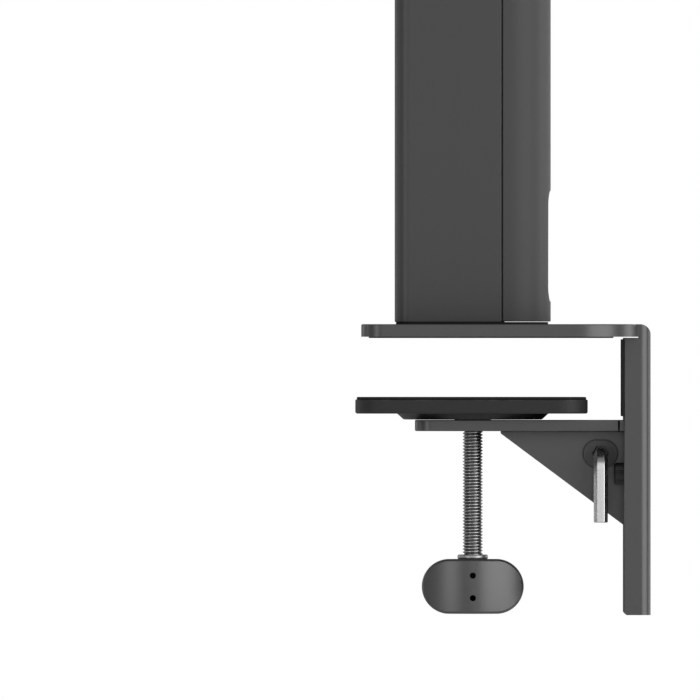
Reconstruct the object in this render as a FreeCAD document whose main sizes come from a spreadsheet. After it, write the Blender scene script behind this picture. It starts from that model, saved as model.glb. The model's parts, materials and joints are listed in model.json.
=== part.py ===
import FreeCAD, Part
import math
import os
import re
import Sketcher

# Desk-clamp monitor arm: clamp, column with cable cover, swivelling link arm,
# gas-spring parallelogram arm and a tilting VESA head.
# Frame: +Z up, origin under the top plate's pad on the clamp screw's axis.
# -X points to the user, +X to the desk's rear edge. At rest the arm lies straight along -X.
# A cut or a through hole runs 1 or 2 mm past the face it opens.

Vector = FreeCAD.Vector
doc = FreeCAD.newDocument("MonitorArm")
sheet = doc.addObject("Spreadsheet::Sheet", "Sizes")

SIZES = [
    ("slide_gap", 0.2, "gap between flat faces that slide past each other"),
    ("pin_play", 0.05, "radial play of a turning pin or shaft"),
    # upper bracket
    ("pad_thickness", 0.5, "foam pad under the top plate"),
    ("plate_thickness", 5.0, "top plate"),
    ("plate_front", 44.6, "top plate, from the screw axis to its front edge"),
    ("plate_rear", 65.0, "top plate, from the screw axis to its rear edge"),
    ("plate_width", 112.0, "top plate across"),
    ("plate_front_radius", 9.0, "front corners of the top plate"),
    ("plate_rear_radius", 24.0, "rear corners of the top plate"),
    ("channel_width", 62.0, "channel across its flanges"),
    ("channel_depth", 10.6, "channel from flange edge to back"),
    ("channel_drop", 110.6, "channel's lower end below the desk top"),
    ("channel_overhang", 5.9, "channel's back behind the plate's rear edge"),
    ("strap_overlap", 15.0, "how far the bent strap runs onto the plate"),
    ("slit_height", 0.4, "relief slit under the strap"),
    ("slit_depth", 0.6, "relief slit into the channel's back wall"),
    ("plate_chamfer", 0.8, "chamfer under the top plate's ends"),
    ("plate_round", 0.5, "rounding of the top plate's upper edges"),
    ("pad_inset", 3.0, "foam pad's edge inside the top plate's"),
    ("pad_rear_inset", 9.0, "foam pad's rear edge inside the top plate's"),
    ("web_thickness", 5.0, "channel's back wall"),
    ("flange_thickness", 4.0, "channel's side flanges"),
    ("bend_radius", 4.2, "outer bends of the bracket"),
    ("edge_pad_thickness", 0.9, "foam pad against the desk's edge"),
    ("edge_pad_drop", 0.5, "foam pad below the desk top"),
    ("edge_pad_end", 1.5, "foam pad's lower end above the lower bracket"),
    # lower bracket
    ("jaw_height", 32.8, "lower bracket's top face below the desk top"),
    ("lower_thickness", 4.4, "lower bracket's plate"),
    ("lower_web_thickness", 4.0, "lower bracket's upright web"),
    ("lower_front", 23.1, "lower bracket's front edge from the screw axis"),
    ("lower_width", 53.0, "lower bracket across"),
    ("lower_drop", 45.0, "height of the lower bracket's web"),
    ("lower_radius", 7.0, "lower bracket's front corners"),
    ("relief_offset", 1.7, "bend relief in front of the channel"),
    ("relief_width", 0.6, "bend relief"),
    ("relief_depth", 2.0, "bend relief in from the lower bracket's sides"),
    ("gusset_thickness", 3.0, "each gusset"),
    ("gusset_spacing", 29.0, "between the gussets' middle planes"),
    ("gusset_reach", 50.7, "gusset along the plate"),
    ("gusset_height", 38.8, "gusset along the web"),
    ("gusset_nose", 1.0, "gusset's blunt front end"),
    ("bolt_spacing", 43.0, "between the bracket bolts"),
    ("bolt_depth", 21.3, "bracket bolts below the lower bracket's top face"),
    ("bolt_size", 5.0, "bracket bolt thread"),
    ("bolt_pitch_rows", 25.0, "between the channel's rows of tapped holes"),
    ("bolt_washer_thickness", 0.6, "bracket bolts' washers"),
    ("bolt_end", 0.4, "bracket bolts past the channel's back"),
    # screw and pressure plate
    ("screw_size", 8.0, "clamp screw thread"),
    ("screw_reach", 55.6, "collar's underside below the lower bracket's top face"),
    ("collar_size", 12.2, "polished collar diameter"),
    ("collar_height", 1.8, "polished collar height"),
    ("nut_height", 3.6, "weld nut"),
    ("tip_step", 2.0, "how much thinner the clamp screw's tip is"),
    ("tip_depth", 0.4, "screw tip below the pressure plate's face"),
    ("tip_washer_thickness", 1.0, "washer on the screw's tip"),
    ("tip_seat_depth", 1.8, "seat of the tip washer"),
    ("nut_room", 0.3, "room above the weld nut in the pressure plate"),
    ("press_front", 47.0, "pressure plate's front edge from the screw axis"),
    ("press_rear", 45.8, "pressure plate's rear edge from the screw axis"),
    ("press_width", 76.0, "pressure plate across"),
    ("press_thickness", 5.6, "pressure plate"),
    ("press_pad_thickness", 1.0, "pad on the pressure plate"),
    ("press_radius", 12.0, "pressure plate's corners"),
    ("press_round", 0.8, "pressure plate's lower edges"),
    ("press_pad_inset", 0.6, "pad's edge inside the pressure plate's"),
    ("boss_size", 60.6, "round boss under the pressure plate"),
    ("boss_taper", 2.6, "how much the boss's radius shrinks downwards"),
    ("boss_height", 2.4, "round boss"),
    # knob and key
    ("knob_length", 40.8, "wing knob, end to end"),
    ("knob_height", 21.9, "wing knob"),
    ("knob_thickness", 18.0, "wing knob, front to back"),
    ("knob_round", 1.6, "knob's rims"),
    ("shaft_depth", 18.6, "clamp screw inside the knob"),
    ("set_screw_drop", 6.6, "upper set screw below the knob's top"),
    ("set_screw_spacing", 9.0, "between the set screws"),
    ("set_screw_size", 3.0, "set screws in the knob"),
    ("key_size", 5.0, "hex key across flats"),
    ("key_reach", 51.0, "stored key's axis from the clamp screw's axis"),
    ("key_depth", 13.4, "stored key's axis below the lower bracket's top face"),
    ("key_drop", 27.5, "key's hanging leg below its long leg's axis"),
    ("key_length", 52.0, "key's long leg"),
    ("key_standoff", 3.25, "start of the key's bend outside the near grommet"),
    ("key_play", 0.2, "grommet's hole across flats, more than the key"),
    ("grommet_length", 13.7, "key grommet along X"),
    ("grommet_height", 10.9, "key grommet along Z"),
    ("grommet_flange", 1.5, "key grommet's flange"),
    ("grommet_rim", 0.95, "flange's rim beyond the grommet's neck"),
    # column
    ("column_height", 230.0, "column and cover"),
    ("column_depth", 62.4, "column with its cover, along X"),
    ("column_width", 52.0, "column across"),
    ("column_wall", 2.8, "column wall"),
    ("column_radius", 6.0, "column's front corners"),
    ("land_depth", 1.4, "raised land on the column's back, inside the cover"),
    ("land_gap", 0.4, "land inside the cover's walls"),
    ("screw_inset", 5.0, "column screws' axes from the column's inner walls"),
    ("screw_boss_size", 11.0, "round screw bosses inside the column"),
    ("cover_depth", 19.3, "rear cable cover along X"),
    ("cover_wall", 2.2, "rear cable cover wall"),
    ("cover_radius", 14.0, "rear cable cover's corners"),
    ("crown_radius", 46.0, "rear cable cover's crown"),
    ("seam_gap", 0.5, "seam between column and cover"),
    ("foot_height", 0.9, "gasket under the column"),
    ("foot_inset", 0.5, "gasket's edge inside the column's"),
    ("foot_rear_inset", 1.1, "gasket's edge inside the cover's crown"),
    ("slot_width", 19.0, "cable slot across"),
    ("slot_height", 43.9, "cable slot"),
    ("slot_rise", 8.4, "cable slot above the column's lower end"),
    ("slot_radius", 6.0, "cable slot corners"),
    ("column_screw_size", 6.0, "column screws"),
    ("column_screw_length", 20.0, "column screws"),
    ("column_screw_head", 2.5, "height of the column screws' heads"),
    ("counterbore_depth", 3.0, "column screws' counterbores"),
    ("head_height", 10.0, "column head above the extrusion"),
    ("head_round", 1.5, "column head's upper edges"),
    ("head_rear_inset", 0.8, "column head's rear face inside the cover's crown"),
    ("head_screw_length", 22.0, "head screws"),
    ("head_screw_head", 3.4, "height of the head screws' heads"),
    ("head_counterbore", 4.0, "head screws' counterbores"),
    ("socket_wall", 3.0, "socket of the shoulder post"),
    ("socket_depth", 22.0, "socket of the shoulder post below the head"),
    ("post_grip", 18.0, "shoulder post below the head"),
    # link arm
    ("shoulder_back", 8.0, "shoulder axis in front of the clamp screw's axis"),
    ("link_length", 230.0, "link arm between its axes"),
    ("link_height", 38.0, "link arm hubs"),
    ("shoulder_hub_size", 46.0, "shoulder hub diameter"),
    ("elbow_hub_size", 42.0, "elbow hub diameter"),
    ("beam_width", 34.0, "link arm beam across"),
    ("beam_height", 30.0, "link arm beam"),
    ("beam_channel_width", 18.0, "cable channel under the link arm"),
    ("beam_channel_depth", 18.0, "cable channel under the link arm"),
    ("beam_round", 6.0, "link arm beam's long edges"),
    ("hub_round", 1.5, "link arm hubs' rims"),
    ("hub_web", 2.0, "between the hubs and the cable channel"),
    ("bush_recess", 10.0, "shoulder bush below the hub's top"),
    ("recess_rim", 4.0, "recess round the shoulder bush"),
    ("cap_rim", 3.0, "shoulder hub's rim round its cap"),
    ("cap_seat", 2.0, "seat of the shoulder cap"),
    ("cap_thickness", 3.2, "shoulder cap"),
    ("cap_round", 1.1, "shoulder cap's edge"),
    ("cap_play", 0.15, "radial play of the shoulder cap"),
    ("clip_length", 14.0, "cable clips under the link arm"),
    ("clip_floor", 1.6, "cable clips' floor"),
    ("clip_wall", 1.5, "cable clips' sides"),
    ("clip_height", 8.0, "cable clips"),
    ("shoulder_post_size", 18.0, "shoulder post"),
    ("elbow_post_size", 18.0, "elbow post"),
    ("shoulder_screw_size", 8.0, "shoulder screw thread"),
    ("shoulder_screw_length", 20.0, "shoulder screw"),
    ("shoulder_screw_head", 4.0, "height of the shoulder screw's head"),
    ("retainer_rim", 3.0, "retainer's rim over the bush"),
    ("retainer_thickness", 2.2, "shoulder retainer"),
    ("thread_room", 2.0, "depth of a tapped hole past its screw"),
    ("bush_wall", 3.0, "plastic bushes"),
    ("washer_thickness", 1.0, "thrust washers"),
    ("washer_rim", 2.0, "shoulder washer's edge inside the hub's"),
    # gas-spring arm
    ("pivot_reach", 22.0, "arm pivots in front of the elbow axis"),
    ("pivot_rise", 27.0, "lower pivots above the knuckle's base"),
    ("pivot_spacing", 24.0, "between upper and lower pivots"),
    ("arm_length", 220.0, "arm between its pivots"),
    ("upper_shell_width", 46.0, "upper shell across"),
    ("lower_shell_width", 40.0, "lower shell across"),
    ("shell_wall", 2.5, "both shells"),
    ("shell_radius", 12.0, "shells' outer height from the pivots"),
    ("shell_round", 7.0, "shells' long edges"),
    ("shell_bevel", 3.5, "bevel inside the shells' long edges"),
    ("shell_clearance", 1.0, "between the knuckle's disc and the lower shell"),
    ("pivot_pin_size", 8.0, "arm pivot pins"),
    ("ear_wall", 4.5, "knuckles' ears round the pivot pins"),
    ("rivet_head", 1.2, "height of the pivot pins' heads"),
    ("upper_rivet_rim", 2.5, "upper pins' heads beyond the pin"),
    ("lower_rivet_rim", 0.75, "lower pins' heads beyond the pin"),
    ("spring_length", 150.0, "gas spring, eye to eye"),
    ("spring_tube_size", 19.0, "gas spring tube"),
    ("spring_rod_size", 8.0, "gas spring rod"),
    ("tube_wall", 2.0, "gas spring tube"),
    ("tube_setback", 24.0, "gas spring tube in front of its rear eye"),
    ("tube_reach", 105.0, "gas spring tube's front end from its rear eye"),
    ("tube_end", 4.0, "gas spring tube's end walls"),
    ("eye_gap", 2.0, "eyes' clearance between the pivot pins"),
    ("eye_width", 12.0, "gas spring's eyes"),
    ("neck_size", 10.0, "neck of the gas spring's rear eye"),
    ("piston_place", 22.0, "piston from the tube's front end"),
    ("piston_length", 8.0, "piston"),
    ("rod_pin_size", 6.0, "pin at the rod's eye"),
    ("rod_eye_play", 1.3, "radial play at the rod's eye"),
    ("rod_pin_lift", 1.08, "rod pin above the rod's axis"),
    ("bracket_width", 18.0, "spring bracket across"),
    ("bracket_wall", 2.5, "spring bracket's cheeks"),
    ("bracket_roof", 2.0, "spring bracket's roof"),
    ("bracket_margin", 3.0, "spring bracket round its pin"),
    ("knuckle_width", 28.0, "elbow and front knuckles across"),
    ("knuckle_back", 13.0, "elbow knuckle's rear face from the elbow axis"),
    ("knuckle_round", 5.0, "elbow knuckle's rear edges"),
    ("disc_round", 1.2, "rims of the knuckles' discs"),
    ("fork_gap", 13.0, "between the elbow knuckle's ears"),
    ("post_cover", 2.0, "metal over the elbow post"),
    ("adjuster_size", 10.0, "lift adjuster's bore"),
    ("adjuster_depth", 6.0, "lift adjuster's bore"),
    ("adjuster_length", 5.4, "lift adjuster"),
    ("adjuster_drop", 4.0, "lift adjuster below the lower pivots"),
    ("arm_clip_length", 12.0, "cable clips under the arm"),
    ("arm_clip_width", 26.0, "cable clips under the arm"),
    ("arm_clip_height", 9.0, "cable clips under the arm"),
    ("arm_clip_wall", 2.0, "cable clips under the arm"),
    ("arm_clip_roof", 1.6, "top of the cable clips under the arm"),
    ("arm_clip_gap", 5.0, "gap that lets a cable into the clip"),
    # head
    ("pan_reach", 30.0, "pan axis in front of the front pivots"),
    ("pan_hub_size", 36.0, "pan hub"),
    ("pan_hub_height", 28.0, "pan hub"),
    ("pan_post_size", 16.0, "pan post"),
    ("pan_hub_rise", 8.0, "pan hub's top above the upper pivots"),
    ("pan_recess", 7.0, "pan bush below the hub's top"),
    ("pan_floor", 4.0, "metal under the pan post"),
    ("pan_retainer_thickness", 1.6, "pan retainer"),
    ("head_screw_size", 6.0, "screws in the pan post and the tilt block"),
    ("head_screw_rim", 11.0, "diameter of those screws' heads"),
    ("pan_screw_length", 14.0, "pan screw"),
    ("pan_screw_head", 3.4, "height of the pan screw's head"),
    ("tilt_reach", 34.0, "tilt axis in front of the pan axis"),
    ("tilt_drop", 18.0, "tilt axis below the pan hub"),
    ("tilt_bolt_size", 8.0, "tilt bolt"),
    ("tilt_bolt_head", 6.0, "height of the tilt bolt's head"),
    ("tilt_bolt_rim", 13.0, "tilt bolt's head, and its nut across flats"),
    ("tilt_bolt_end", 8.0, "tilt bolt past the cheeks"),
    ("tilt_nut_height", 6.5, "tilt nut"),
    ("cheek_thickness", 6.0, "tilt cheeks"),
    ("barrel_size", 26.0, "tilt barrel"),
    ("cheek_gap", 24.0, "between the tilt cheeks"),
    ("flange_size", 52.0, "round flange behind the VESA plate"),
    ("flange_reach", 24.0, "flange's face in front of the tilt axis"),
    ("head_flange_thickness", 6.0, "round flange"),
    ("tilt_neck_height", 18.0, "neck between the tilt barrel and the flange"),
    ("rotation_screw_length", 16.0, "rotation screw"),
    ("rotation_screw_head", 2.6, "height of the rotation screw's head"),
    ("rotation_retainer_size", 28.0, "rotation retainer"),
    ("rotation_retainer_thickness", 1.2, "rotation retainer"),
    ("flange_rim", 3.0, "rotation washer's edge inside the flange's"),
    ("vesa_width", 116.0, "VESA plate"),
    ("vesa_thickness", 2.5, "VESA plate"),
    ("vesa_dish", 4.3, "how deep the VESA plate's centre is dished"),
    ("vesa_radius", 9.0, "VESA plate's corners"),
    ("vesa_round", 0.4, "VESA plate's front edges"),
    ("dish_wall", 2.5, "wall of the VESA plate's dish"),
    ("dish_play", 0.5, "flange's radius more than the dish's"),
    ("vesa_hole_size", 4.6, "VESA plate holes"),
]

for row, (alias, value, meaning) in enumerate(SIZES, start=1):
    sheet.set(f"A{row}", meaning)
    sheet.set(f"B{row}", str(value))
    sheet.setAlias(f"B{row}", alias)
doc.recompute()
ALIASES = {alias for alias, value, meaning in SIZES}

nodes = []


# ---- ways of making things ----

def linked(text):
    """An expression in which every size is read from the sheet."""
    return re.sub(r"[a-z][a-z_]*", lambda word: f"Sizes.{word[0]}" if word[0] in ALIASES else word[0], text)


def node(thing, label):
    """Name a finished piece and put it on the list of pieces to write."""
    thing.Label = label
    nodes.append(thing)
    return thing


def body(name):
    return doc.addObject("PartDesign::Body", name + "_body")


def sketch(owner, plane, at="0"):
    """A sketch on one of the body's own planes, moved along the plane's axis."""
    drawing = owner.newObject("Sketcher::SketchObject", owner.Name + "_sketch")
    origin_plane = next(part for part in owner.Origin.OriginFeatures if part.Role == plane)
    drawing.AttachmentSupport = (origin_plane, "")
    drawing.MapMode = "FlatFace"
    sign = "-1" if plane == "XZ_Plane" else "1"
    drawing.setExpression("AttachmentOffset.Base.z", linked(f"{sign} * ({at})"))
    return drawing


def pin_point(drawing, geometry, end, across, up):
    """Hold one point of a sketch at a place bound to the sheet."""
    for kind, axis, start, text in (("DistanceX", -2, 3.7, across), ("DistanceY", -1, 2.9, up)):
        if text == "0":
            drawing.addConstraint(Sketcher.Constraint("PointOnObject", geometry, end, axis))
            continue
        number = drawing.addConstraint(Sketcher.Constraint(kind, -1, 1, geometry, end, start))
        drawing.setExpression(f"Constraints[{number}]", linked(text))


def polygon(drawing, corners):
    """A closed outline of straight edges through the corners."""
    first = drawing.GeometryCount
    count = len(corners)
    ring = []
    for step in range(count):
        turn = 0.3 + 2 * math.pi * step / count
        ring.append(Vector(20 * math.cos(turn), 20 * math.sin(turn), 0))
    for step in range(count):
        drawing.addGeometry(Part.LineSegment(ring[step], ring[(step + 1) % count]), False)
    for step in range(count):
        following = first + (step + 1) % count
        drawing.addConstraint(Sketcher.Constraint("Coincident", first + step, 2, following, 1))
    for step, (across, up) in enumerate(corners):
        pin_point(drawing, first + step, 1, across, up)


def rectangle(drawing, left, right, low, high):
    polygon(drawing, [(left, low), (right, low), (right, high), (left, high)])


def circle(drawing, across, up, diameter):
    number = drawing.addGeometry(Part.Circle(Vector(3.7, 2.9, 0), Vector(0, 0, 1), 4), False)
    pin_point(drawing, number, 3, across, up)
    constraint = drawing.addConstraint(Sketcher.Constraint("Diameter", number, 8))
    drawing.setExpression(f"Constraints[{constraint}]", linked(diameter))


def pad(owner, drawing, length, symmetric=False, reverse=False):
    feature = owner.newObject("PartDesign::Pad", owner.Name + "_pad")
    feature.Profile = drawing
    feature.setExpression("Length", linked(length))
    if symmetric:
        feature.SideType = "Symmetric"
    feature.Reversed = reverse
    doc.recompute()
    return feature


def pocket(owner, drawing, length, symmetric=False, reverse=False):
    """Cut the sketch out of the body, and make sure that something was cut."""
    before = owner.Shape.Volume
    feature = owner.newObject("PartDesign::Pocket", owner.Name + "_pocket")
    feature.Profile = drawing
    feature.setExpression("Length", linked(length))
    if symmetric:
        feature.SideType = "Symmetric"
    feature.Reversed = reverse
    doc.recompute()
    if not owner.Shape.Volume < before - 0.01:
        raise ValueError(f"{owner.Name}: a pocket cuts nothing")
    return feature


def revolve(owner, drawing, axis="V_Axis"):
    feature = owner.newObject("PartDesign::Revolution", owner.Name + "_turned")
    feature.Profile = drawing
    feature.ReferenceAxis = (drawing, [axis])
    feature.Angle = 360
    doc.recompute()
    return feature


def lies_along(edge, axis):
    box = edge.BoundBox
    spans = {"x": box.XLength, "y": box.YLength, "z": box.ZLength}
    length = spans.pop(axis)
    return length > 0.2 and max(spans.values()) < 0.01


def dress(owner, kind, size, wanted):
    """Fillet or chamfer the edges that wanted(edge, middle, box) picks."""
    base = owner.Tip
    box = owner.Shape.BoundBox
    names = []
    for number, edge in enumerate(base.Shape.Edges, start=1):
        if wanted(edge, edge.BoundBox.Center, box):
            names.append(f"Edge{number}")
    feature = owner.newObject(f"PartDesign::{kind}", f"{owner.Name}_{kind}")
    feature.Base = (base, names)
    feature.setExpression("Radius" if kind == "Fillet" else "Size", linked(size))
    doc.recompute()
    if not names or "Invalid" in feature.State:
        raise ValueError(f"{owner.Name}: a {kind} of {size} failed on {len(names)} edges")
    return feature


def fillet(owner, radius, wanted):
    return dress(owner, "Fillet", radius, wanted)


def chamfer(owner, size, wanted):
    return dress(owner, "Chamfer", size, wanted)


def flat_at(edge, level):
    """The whole edge lies at this height."""
    return abs(edge.BoundBox.ZMin - level) < 0.01 and abs(edge.BoundBox.ZMax - level) < 0.01


def on_side(edge, level):
    """The whole edge lies at this place along Y."""
    return abs(edge.BoundBox.YMin - level) < 0.01 and abs(edge.BoundBox.YMax - level) < 0.01


TURNS = {
    "z": FreeCAD.Rotation(),
    "-z": FreeCAD.Rotation(Vector(1, 0, 0), 180),
    "x": FreeCAD.Rotation(Vector(0, 1, 0), 90),
    "-x": FreeCAD.Rotation(Vector(0, 1, 0), -90),
    "y": FreeCAD.Rotation(Vector(1, 0, 0), -90),
    "-y": FreeCAD.Rotation(Vector(1, 0, 0), 90),
}


def stand(thing, place, along="z"):
    """Place a primitive: its base point is bound to the sheet, its axis is along."""
    thing.Placement = FreeCAD.Placement(Vector(), TURNS[along])
    for letter, text in zip("xyz", place):
        thing.setExpression(f"Placement.Base.{letter}", linked(text))
    return thing


def rod(diameter, length, place, along="z"):
    thing = doc.addObject("Part::Cylinder", "rod")
    thing.setExpression("Radius", linked(f"({diameter}) / 2"))
    thing.setExpression("Height", linked(length))
    return stand(thing, place, along)


def block(size, place):
    thing = doc.addObject("Part::Box", "block")
    for name, text in zip(("Length", "Width", "Height"), size):
        thing.setExpression(name, linked(text))
    return stand(thing, place)


def hexagon(flats, length, place, along="z"):
    thing = doc.addObject("Part::Prism", "hexagon")
    thing.Polygon = 6
    thing.setExpression("Circumradius", linked(f"({flats}) / 2 / cos(30 deg)"))
    thing.setExpression("Height", linked(length))
    return stand(thing, place, along)


def fused(things):
    thing = doc.addObject("Part::MultiFuse", "fused")
    thing.Shapes = things
    return thing


def cut(base, tool):
    thing = doc.addObject("Part::Cut", "cut")
    thing.Base = base
    thing.Tool = tool
    return thing


def group(things):
    thing = doc.addObject("Part::Compound", "group")
    thing.Links = things
    return thing


def tube(outer, inner, length, place, along="z"):
    return cut(rod(outer, length, place, along), rod(inner, length, place, along))


def moved(place, axis, amount):
    """The place with an amount added along one axis."""
    parts = list(place)
    index = "xyz".index(axis[-1])
    sign = "-" if axis[0] == "-" else "+"
    parts[index] = f"({parts[index]}) {sign} ({amount})"
    return tuple(parts)


OPPOSITE = {"z": "-z", "-z": "z", "x": "-x", "-x": "x", "y": "-y", "-y": "y"}


def cap_screw(size, length, head_size, head_height, place, along):
    """A socket screw: place is under its head, along is the way the shank points."""
    back = OPPOSITE[along]
    shank = rod(size, length, place, along)
    head = rod(head_size, head_height, place, back)
    top = moved(place, back, head_height)
    socket = hexagon(f"({head_size}) * 0.45", f"({head_height}) * 0.55", top, along)
    return cut(fused([shank, head]), socket)


# ---- places worked out from the sizes ----

# a socket screw's head and the counterbore that takes it, as shares of the thread
HEAD_SHARE = 1.7
COUNTERBORE_SHARE = 1.8

PLATE_TOP = "(pad_thickness + plate_thickness)"
CHANNEL_REAR = "(plate_rear + channel_overhang)"
CHANNEL_FRONT = f"({CHANNEL_REAR} - channel_depth)"
WEB_FRONT = f"({CHANNEL_REAR} - web_thickness)"
LOWER_TOP = "(-jaw_height)"
LOWER_UNDER = f"({LOWER_TOP} - lower_thickness)"
LOWER_WEB_FRONT = f"({WEB_FRONT} - lower_web_thickness)"
BOLT_HEIGHT = f"({LOWER_TOP} - bolt_depth)"
KEY_HEIGHT = f"({LOWER_TOP} - key_depth)"
KNOB_TOP = f"({LOWER_TOP} - screw_reach)"
PRESS_UNDER = f"({LOWER_TOP} + slide_gap + boss_height)"
PRESS_TOP = f"({PRESS_UNDER} + press_thickness)"
NUT_TOP = f"({LOWER_TOP} + nut_height)"
RECESS_TOP = f"({NUT_TOP} + nut_room)"
COLUMN_FOOT = f"({PLATE_TOP} + foot_height)"
COLUMN_TOP = f"({COLUMN_FOOT} + column_height)"
COLUMN_FRONT = "(-column_depth / 2)"
COVER_REAR = "(column_depth / 2)"
COVER_FRONT = f"({COVER_REAR} - cover_depth)"
COLUMN_REAR = f"({COVER_FRONT} - seam_gap)"
HEAD_TOP = f"({COLUMN_TOP} + head_height)"
SHOULDER = "(-shoulder_back)"
ELBOW = f"({SHOULDER} - link_length)"
LINK_UNDER = f"({HEAD_TOP} + washer_thickness + slide_gap)"
LINK_TOP = f"({LINK_UNDER} + link_height)"
BEAM_UNDER = f"({LINK_UNDER} + (link_height - beam_height) / 2)"
BUSH_TOP = f"({LINK_TOP} - bush_recess)"
KNUCKLE_UNDER = f"({LINK_TOP} + washer_thickness + slide_gap)"
KNUCKLE_DISC_TOP = f"({KNUCKLE_UNDER} + pivot_rise - shell_radius - shell_clearance)"
LOWER_PIVOT = f"({KNUCKLE_UNDER} + pivot_rise)"
UPPER_PIVOT = f"({LOWER_PIVOT} + pivot_spacing)"
SPRING_PIVOT = f"({LOWER_PIVOT} + pivot_spacing / 2)"
REAR_PIVOT = f"({ELBOW} - pivot_reach)"
FRONT_PIVOT = f"({REAR_PIVOT} - arm_length)"
ROD_EYE = f"({REAR_PIVOT} - spring_length)"
PAN = f"({FRONT_PIVOT} - pan_reach)"
PAN_HUB_TOP = f"({UPPER_PIVOT} + pan_hub_rise)"
PAN_HUB_UNDER = f"({PAN_HUB_TOP} - pan_hub_height)"
TILT = f"({PAN} - tilt_reach)"
TILT_HEIGHT = f"({PAN_HUB_UNDER} - tilt_drop)"
FLANGE_FRONT = f"({TILT} - flange_reach)"
VESA_REAR = f"({FLANGE_FRONT} - washer_thickness - slide_gap)"
VESA_FACE = f"({VESA_REAR} - vesa_thickness - vesa_dish)"


# ---- upper bracket: top plate, bend and channel in one piece ----

bracket = body("upper_bracket")
outline = sketch(bracket, "XY_Plane", "pad_thickness")
rectangle(outline, "-plate_front", "plate_rear", "-plate_width / 2", "plate_width / 2")
pad(bracket, outline, "plate_thickness")
fillet(bracket, "plate_front_radius",
       lambda edge, middle, box: lies_along(edge, "z") and middle.x < box.XMin + 1)
fillet(bracket, "plate_rear_radius",
       lambda edge, middle, box: lies_along(edge, "z") and middle.x > box.XMax - 1)
side = sketch(bracket, "XZ_Plane")
polygon(side, [
    ("plate_rear - strap_overlap", "pad_thickness"), (CHANNEL_FRONT, "pad_thickness"),
    (CHANNEL_FRONT, "-channel_drop"), (CHANNEL_REAR, "-channel_drop"),
    (CHANNEL_REAR, PLATE_TOP), ("plate_rear - strap_overlap", PLATE_TOP)])
pad(bracket, side, "channel_width", symmetric=True)
inside = sketch(bracket, "XY_Plane", "pad_thickness")
rectangle(inside, f"{CHANNEL_FRONT} - 1", WEB_FRONT,
          "flange_thickness - channel_width / 2", "channel_width / 2 - flange_thickness")
pocket(bracket, inside, "channel_drop + 20")
slit = sketch(bracket, "XZ_Plane")
rectangle(slit, f"{CHANNEL_FRONT} - 1", f"{WEB_FRONT} + slit_depth",
          "pad_thickness - slit_height", "pad_thickness")
pocket(bracket, slit, "channel_width + 2", symmetric=True)
fillet(bracket, "bend_radius",
       lambda edge, middle, box: middle.x > box.XMax - 0.1
       and (lies_along(edge, "z") or lies_along(edge, "y") and middle.z > box.ZMax - 0.1))
holes = sketch(bracket, "YZ_Plane", CHANNEL_REAR)
for count in range(3):
    for side_sign in ("-", ""):
        level = f"{BOLT_HEIGHT} - bolt_pitch_rows * {count - 1}"
        circle(holes, f"{side_sign}bolt_spacing / 2", level, "bolt_size")
pocket(bracket, holes, "web_thickness + 1")
SCREW_ROWS = [f"({COLUMN_FRONT} + column_wall + screw_inset)", f"({COLUMN_REAR} - column_wall - screw_inset)"]
SCREW_SIDES = ["(column_wall + screw_inset - column_width / 2)",
               "(column_width / 2 - column_wall - screw_inset)"]
ports = [(across, aside) for across in SCREW_ROWS for aside in SCREW_SIDES]
through = sketch(bracket, "XY_Plane", PLATE_TOP)
sunk = sketch(bracket, "XY_Plane", "pad_thickness")
for across, aside in ports:
    circle(through, across, aside, "column_screw_size")
    circle(sunk, across, aside, f"column_screw_size * {COUNTERBORE_SHARE}")
pocket(bracket, through, "plate_thickness + 1")
pocket(bracket, sunk, "counterbore_depth", reverse=True)
chamfer(bracket, "plate_chamfer",
        lambda edge, middle, box: flat_at(edge, box.ZMin) and lies_along(edge, "y")
        and middle.x < box.XMax - 9)
fillet(bracket, "plate_round",
       lambda edge, middle, box: flat_at(edge, box.ZMax)
       and edge.Curve.TypeId != "Part::GeomCircle" and middle.x < 60
       or flat_at(edge, box.ZMax) and abs(middle.y) > box.YMax * 0.6)
node(bracket, "upper_bracket")

pad_body = body("top_pad")
outline = sketch(pad_body, "XY_Plane")
rectangle(outline, "pad_inset - plate_front", "plate_rear - pad_rear_inset",
          "pad_inset - plate_width / 2", "plate_width / 2 - pad_inset")
pad(pad_body, outline, "pad_thickness")
fillet(pad_body, "plate_front_radius",
       lambda edge, middle, box: lies_along(edge, "z") and middle.x < box.XMin + 1)
fillet(pad_body, "plate_rear_radius - 2 * pad_inset",
       lambda edge, middle, box: lies_along(edge, "z") and middle.x > box.XMax - 1)
node(pad_body, "top_pad")

node(block(("edge_pad_thickness", "channel_width", "jaw_height - edge_pad_drop - edge_pad_end"),
           (f"{CHANNEL_FRONT} - edge_pad_thickness", "-channel_width / 2",
            "edge_pad_end - jaw_height")),
     "edge_pad")

# ---- lower bracket, its gussets and its bolts ----

lower = body("lower_bracket")
side = sketch(lower, "XZ_Plane")
polygon(side, [
    ("-lower_front", LOWER_UNDER), (LOWER_WEB_FRONT, LOWER_UNDER),
    (LOWER_WEB_FRONT, f"{LOWER_TOP} - lower_drop"), (WEB_FRONT, f"{LOWER_TOP} - lower_drop"),
    (WEB_FRONT, LOWER_TOP), ("-lower_front", LOWER_TOP)])
pad(lower, side, "lower_width", symmetric=True)
fillet(lower, "lower_web_thickness",
       lambda edge, middle, box: lies_along(edge, "y") and middle.x > box.XMax - 0.1
       and middle.z > box.ZMax - 0.1)
fillet(lower, "lower_radius", lambda edge, middle, box: lies_along(edge, "z") and middle.x < box.XMin + 1)
relief = sketch(lower, "XY_Plane", LOWER_TOP)
for side_sign in ("", "-"):
    rectangle(relief, f"{CHANNEL_FRONT} - relief_offset - relief_width",
              f"{CHANNEL_FRONT} - relief_offset",
              f"{side_sign}(lower_width / 2 - relief_depth)", f"{side_sign}(lower_width / 2 + 1)")
pocket(lower, relief, "lower_thickness + 1")
bore = sketch(lower, "XY_Plane", LOWER_TOP)
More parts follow.
